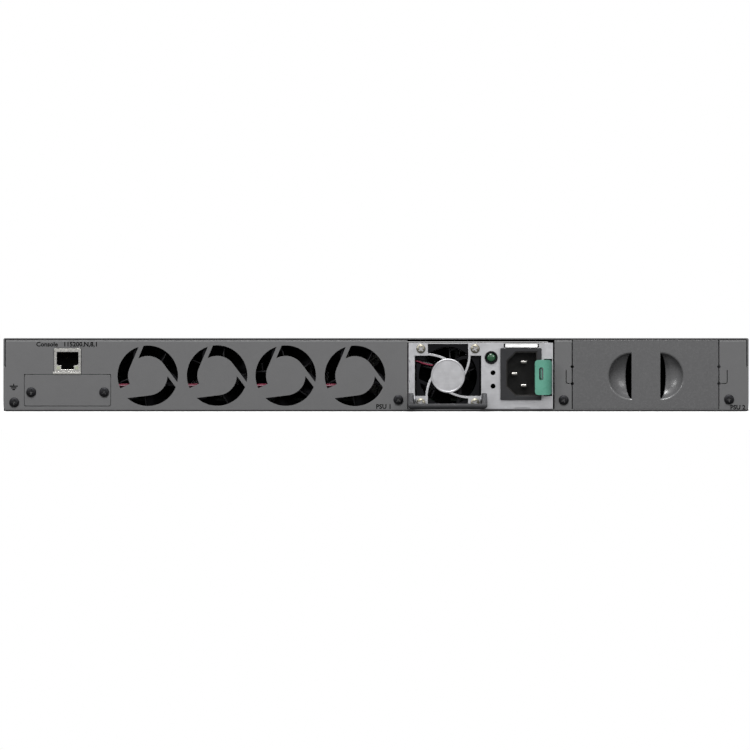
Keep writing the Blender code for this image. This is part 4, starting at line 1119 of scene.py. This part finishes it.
def make_blank():
    low, high = reach("blank_cover")
    body = block((low.x + 0.1, REAR, low.z), (high.x - 0.1, high.y, high.z), 0.25, 3)
    hollow = block((low.x + 1.2, REAR + 1.2, low.z + 1.2), (high.x - 1.2, high.y + 10, high.z - 1.2))
    dots = [rod(0.85, REAR - 1, REAR + 5, (x, z), "Y", 16) for x in (low.x, high.x) for z in CLIP_NOTCHES]
    shell = carved(body, hollow, *dots)
    bumps, hollows = [], []
    for flat_x, side in ((150.9, -1), (167.9, 1)):
        bumps.append(half_bowl(flat_x - side * 1.0, side))
        hollows += [half_dish(flat_x, side), open_slot(flat_x, side)]
    front_trim = block((low.x - 5, REAR - 20, low.z - 5), (high.x + 5, REAR, high.z + 5))
    grips = carved(combined(bumps[0], bumps[1:], "UNION"), front_trim)
    cover = rounded(carved(combined(shell, [grips], "UNION"), *hollows), 0.12, 2, 60.0)
    piece("blank_cover_shell", [cover], "paint_blank", "blank_cover", ["blank_cover"])


# ---- Front ----

PORT_BLOCKS = ("port_block_1", "port_block_2")
COLUMNS = 6
FIBRE_HALF_PITCH = 7.5
STATUS_HEIGHTS = (20.0, 25.5, 31.0)


def collar(low, high):
    """A thin shielding collar round a socket, just behind the front panel."""
    outlines = [rim_of(low, high, 0.8, 3, 1.0), rim_of(low, high, 0.3, 3, -0.1)]
    return prism(outlines, "XZ", FRONT - 1.4, FRONT - 0.9)


def make_front_panel():
    x, z = spot_of("mode_button")
    holes = [rim_of(*reach(name), 0.4, 3, 0.3) for name in (*PORT_BLOCKS, "sfp_cage", "usb_port")]
    holes.append(circle(2.0, (x, z), 28))
    holes += [circle(1.2, (x, height), 20) for height in STATUS_HEIGHTS]
    face = panel_sheet(panel_outline(BEND, lid_low.z - 0.08), holes, FRONT, -1, 14.0)
    piece("front_panel_skin", [face], "paint", stands_for=["front_panel"])


def port_jack(centre, half, face, latch_up):
    """A network jack's insert with its stepped mouth, its eight contacts and its two light windows."""
    (x, z), flip = centre, -1 if latch_up else 1
    step = [(6.0, 4.4), (6.0, -2.4), (4.6, -2.4), (4.6, -3.4), (3.05, -3.4), (3.05, -5.6)]
    right = [(u, flip * v) for u, v in step]
    low, high = (x - half[0], z - half[1]), (x + half[0], z + half[1])
    insert = [prism([rounded_rectangle(low, high, 0.2, 2), moved(right + mirror(right), centre)], "XZ",
                    face - 12, face - 0.25),
              block((low[0], face - 13.5, low[1]), (high[0], face - 12, high[1]))]
    bends = ((2.2, 4.3), (3.0, 3.8), (10.5, 0.7))
    contacts = [wire([(u, face - inside, z + flip * up) for inside, up in bends], 0.22, 1)
                for u in contact_row(x)]
    light_z = z - flip * (half[1] - 1.6)
    lights = [block((u - 1.5, face - 2.0, light_z - 1.1), (u + 1.5, face, light_z + 1.1), 0.15)
              for u in (x - (half[0] - 2.0), x + (half[0] - 2.0))]
    return insert, contacts, lights


def make_port_block(name):
    low, high = reach(name)
    wide, tall = (high.x - low.x) / COLUMNS, (high.z - low.z) / 2
    half = (wide / 2 - 0.25, tall / 2 - 0.35)
    openings, inserts, contacts, lights = [], [], [], []
    for row in range(2):
        for column in range(COLUMNS):
            centre = (low.x + (column + 0.5) * wide, low.z + (row + 0.5) * tall)
            openings.append([(centre[0] + sx * half[0], centre[1] + sz * half[1])
                             for sx, sz in ((-1, -1), (1, -1), (1, 1), (-1, 1))])
            for kept, new in zip((inserts, contacts, lights), port_jack(centre, half, high.y, row == 1)):
                kept += new
    shell = [prism([rim_of(low, high, 0.3, 3), *openings], "XZ", high.y - 14, high.y),
             block((low.x, low.y, low.z), (high.x, high.y - 13.6, high.z)), collar(low, high)]
    piece(name + "_shield", shell, "nickel", stands_for=[name])
    piece(name + "_inserts", inserts, "black")
    piece(name + "_contacts", contacts, "gold")
    piece(name + "_lights", lights, "light_window")


def make_fibre_ports():
    low, high = reach("sfp_cage")
    centre = (low.x + high.x) / 2
    ports = (centre - FIBRE_HALF_PITCH, centre + FIBRE_HALF_PITCH)
    mouths = [rounded_rectangle((x - 6.95, low.z + 0.6), (x + 6.95, high.z - 0.6), 0.3, 3) for x in ports]
    cage = [prism([rim_of(low, high, 0.4, 3), *mouths], "XZ", low.y + 4, high.y, 0.12),
            block(low, (high.x, low.y + 4.2, high.z)), collar(low, high)]
    for x in [low.x + 1.6 + 3.0 * n for n in range(10)]:
        cage.append(block((x, high.y - 9, high.z - 0.05), (x + 1.8, high.y - 0.2, high.z)))
    piece("fibre_cage", cage, "nickel", stands_for=["sfp_cage"])
    ends = [block((x - 6.5, high.y - 38, low.z + 0.8), (x + 6.5, high.y - 30, high.z - 0.8), 0.3)
            for x in ports]
    piece("fibre_connectors", ends, "black")


def make_front_controls():
    """The USB port, the mode button's cap and the three status lights."""
    low, high = reach("usb_port")
    z = (low.z + high.z) / 2
    rims = [rim_of(low, high, 0.6, 4), rim_of(low, high, 0.3, 3, -0.9)]
    shell = [prism(rims, "XZ", high.y - 11, high.y, 0.12),
             block(low, (high.x, high.y - 10.9, high.z)), collar(low, high)]
    piece("usb_shell", shell, "nickel", stands_for=["usb_port"])
    tongue = block((low.x + 1.6, high.y - 11, z + 0.1), (high.x - 1.6, high.y - 1.4, z + 1.9), 0.15)
    piece("usb_tongue", [tongue], "black")
    low, high = reach("mode_button")
    x, z = spot_of("mode_button")
    cap = [(0, low.y), (2.6, low.y), (2.6, low.y + 4.0), (1.6, low.y + 4.0), (1.6, high.y - 0.4), (1.2, high.y),
           (0.6, high.y - 0.12), (0, high.y - 0.15)]
    button = turned(cap, (x, z), "Y", 32)
    piece("mode_button_cap", [button], "black", "mode_button", ["mode_button"])
    lens = [(0, FRONT - 3), (1.15, FRONT - 3), (1.15, FRONT - 0.1), (0.8, FRONT + 0.25), (0, FRONT + 0.35)]
    lenses = [turned(lens, (x, height), "Y", 24) for height in STATUS_HEIGHTS]
    piece("front_status_lenses", lenses, "lens")


def front_label(text, x, z):
    return lettering(str(text), 1.9, (x, FRONT + 0.012, z), rear=False)


def make_lettering():
    """Generic labels only: what each socket or bay is for, and port numbers."""
    y = REAR - 0.012
    labels = [lettering("Console   115200,N,8,1", 2.7, (-182.4, y, 38.3)),
              lettering("PSU 1", 2.7, (4.6, y, 1.5)), lettering("PSU 2", 2.6, (213.6, y, 1.1))]
    x, z = -213.9, 13.7
    earth_mark = ((2.4, 0.75, 1.45), (1.6, -0.25, 0.45), (0.8, -1.25, -0.55), (0.3, 1.1, 2.6))
    labels += [block((x - half, y - 0.012, z + low), (x + half, REAR, z + high))
               for half, low, high in earth_mark]
    piece("rear_lettering", labels, "ink")

    numbers = []
    for name, first in zip(PORT_BLOCKS, (1, 13)):
        low, high = reach(name)
        for column in range(COLUMNS):
            spot_x = high.x - (column + 0.5) * (high.x - low.x) / COLUMNS
            upper = first + 2 * column
            numbers += [front_label(upper, spot_x, high.z + 1.6), front_label(upper + 1, spot_x, low.z - 3.4)]
    low, high = reach("sfp_cage")
    for port, side in ((25, 1), (26, -1)):
        numbers.append(front_label(port, (low.x + high.x) / 2 + side * FIBRE_HALF_PITCH, high.z + 1.6))
    button_x = spot_of("mode_button")[0]
    numbers.append(front_label("MODE", button_x, 7.4))
    for word, height in zip(("SYS", "FAN", "PSU"), STATUS_HEIGHTS):
        numbers.append(front_label(word, button_x - 4.6, height - 0.8))
    piece("front_lettering", numbers, "pale_ink")


# ---- CAD nodes that stay as they are, with better materials ----

KEPT = {
    "zinc": ("bay_wall_left", "bay_wall_middle", "bay_wall_right"),
    "nickel": ("psu_latch_leaf",),
    "board": ("main_board", "console_board", "psu_circuit_board", "supply_backplane"),
    "black": ("switch_chip", "supply_socket_1", "supply_socket_2", "psu_transformer"),
    "aluminium": ("chip_heat_sink",),
}


def refinish_kept():
    for finish, names in KEPT.items():
        for name in names:
            mesh = record_nodes[name].data
            mesh.materials.clear()
            mesh.materials.append(finishes[finish])


finishes = make_finishes()
make_camera()
make_studio()
make_floor()
make_rear_panel()
make_lid()
make_tray()
make_rear_fittings()
make_console()
make_fans()
make_supply_face()
make_supply_fan()
make_inlet()
make_status_light()
make_handle()
make_latch()
make_supply_case()
make_blank()
make_front_panel()
for name in PORT_BLOCKS:
    make_port_block(name)
make_fibre_ports()
make_front_controls()
make_lettering()
refinish_kept()
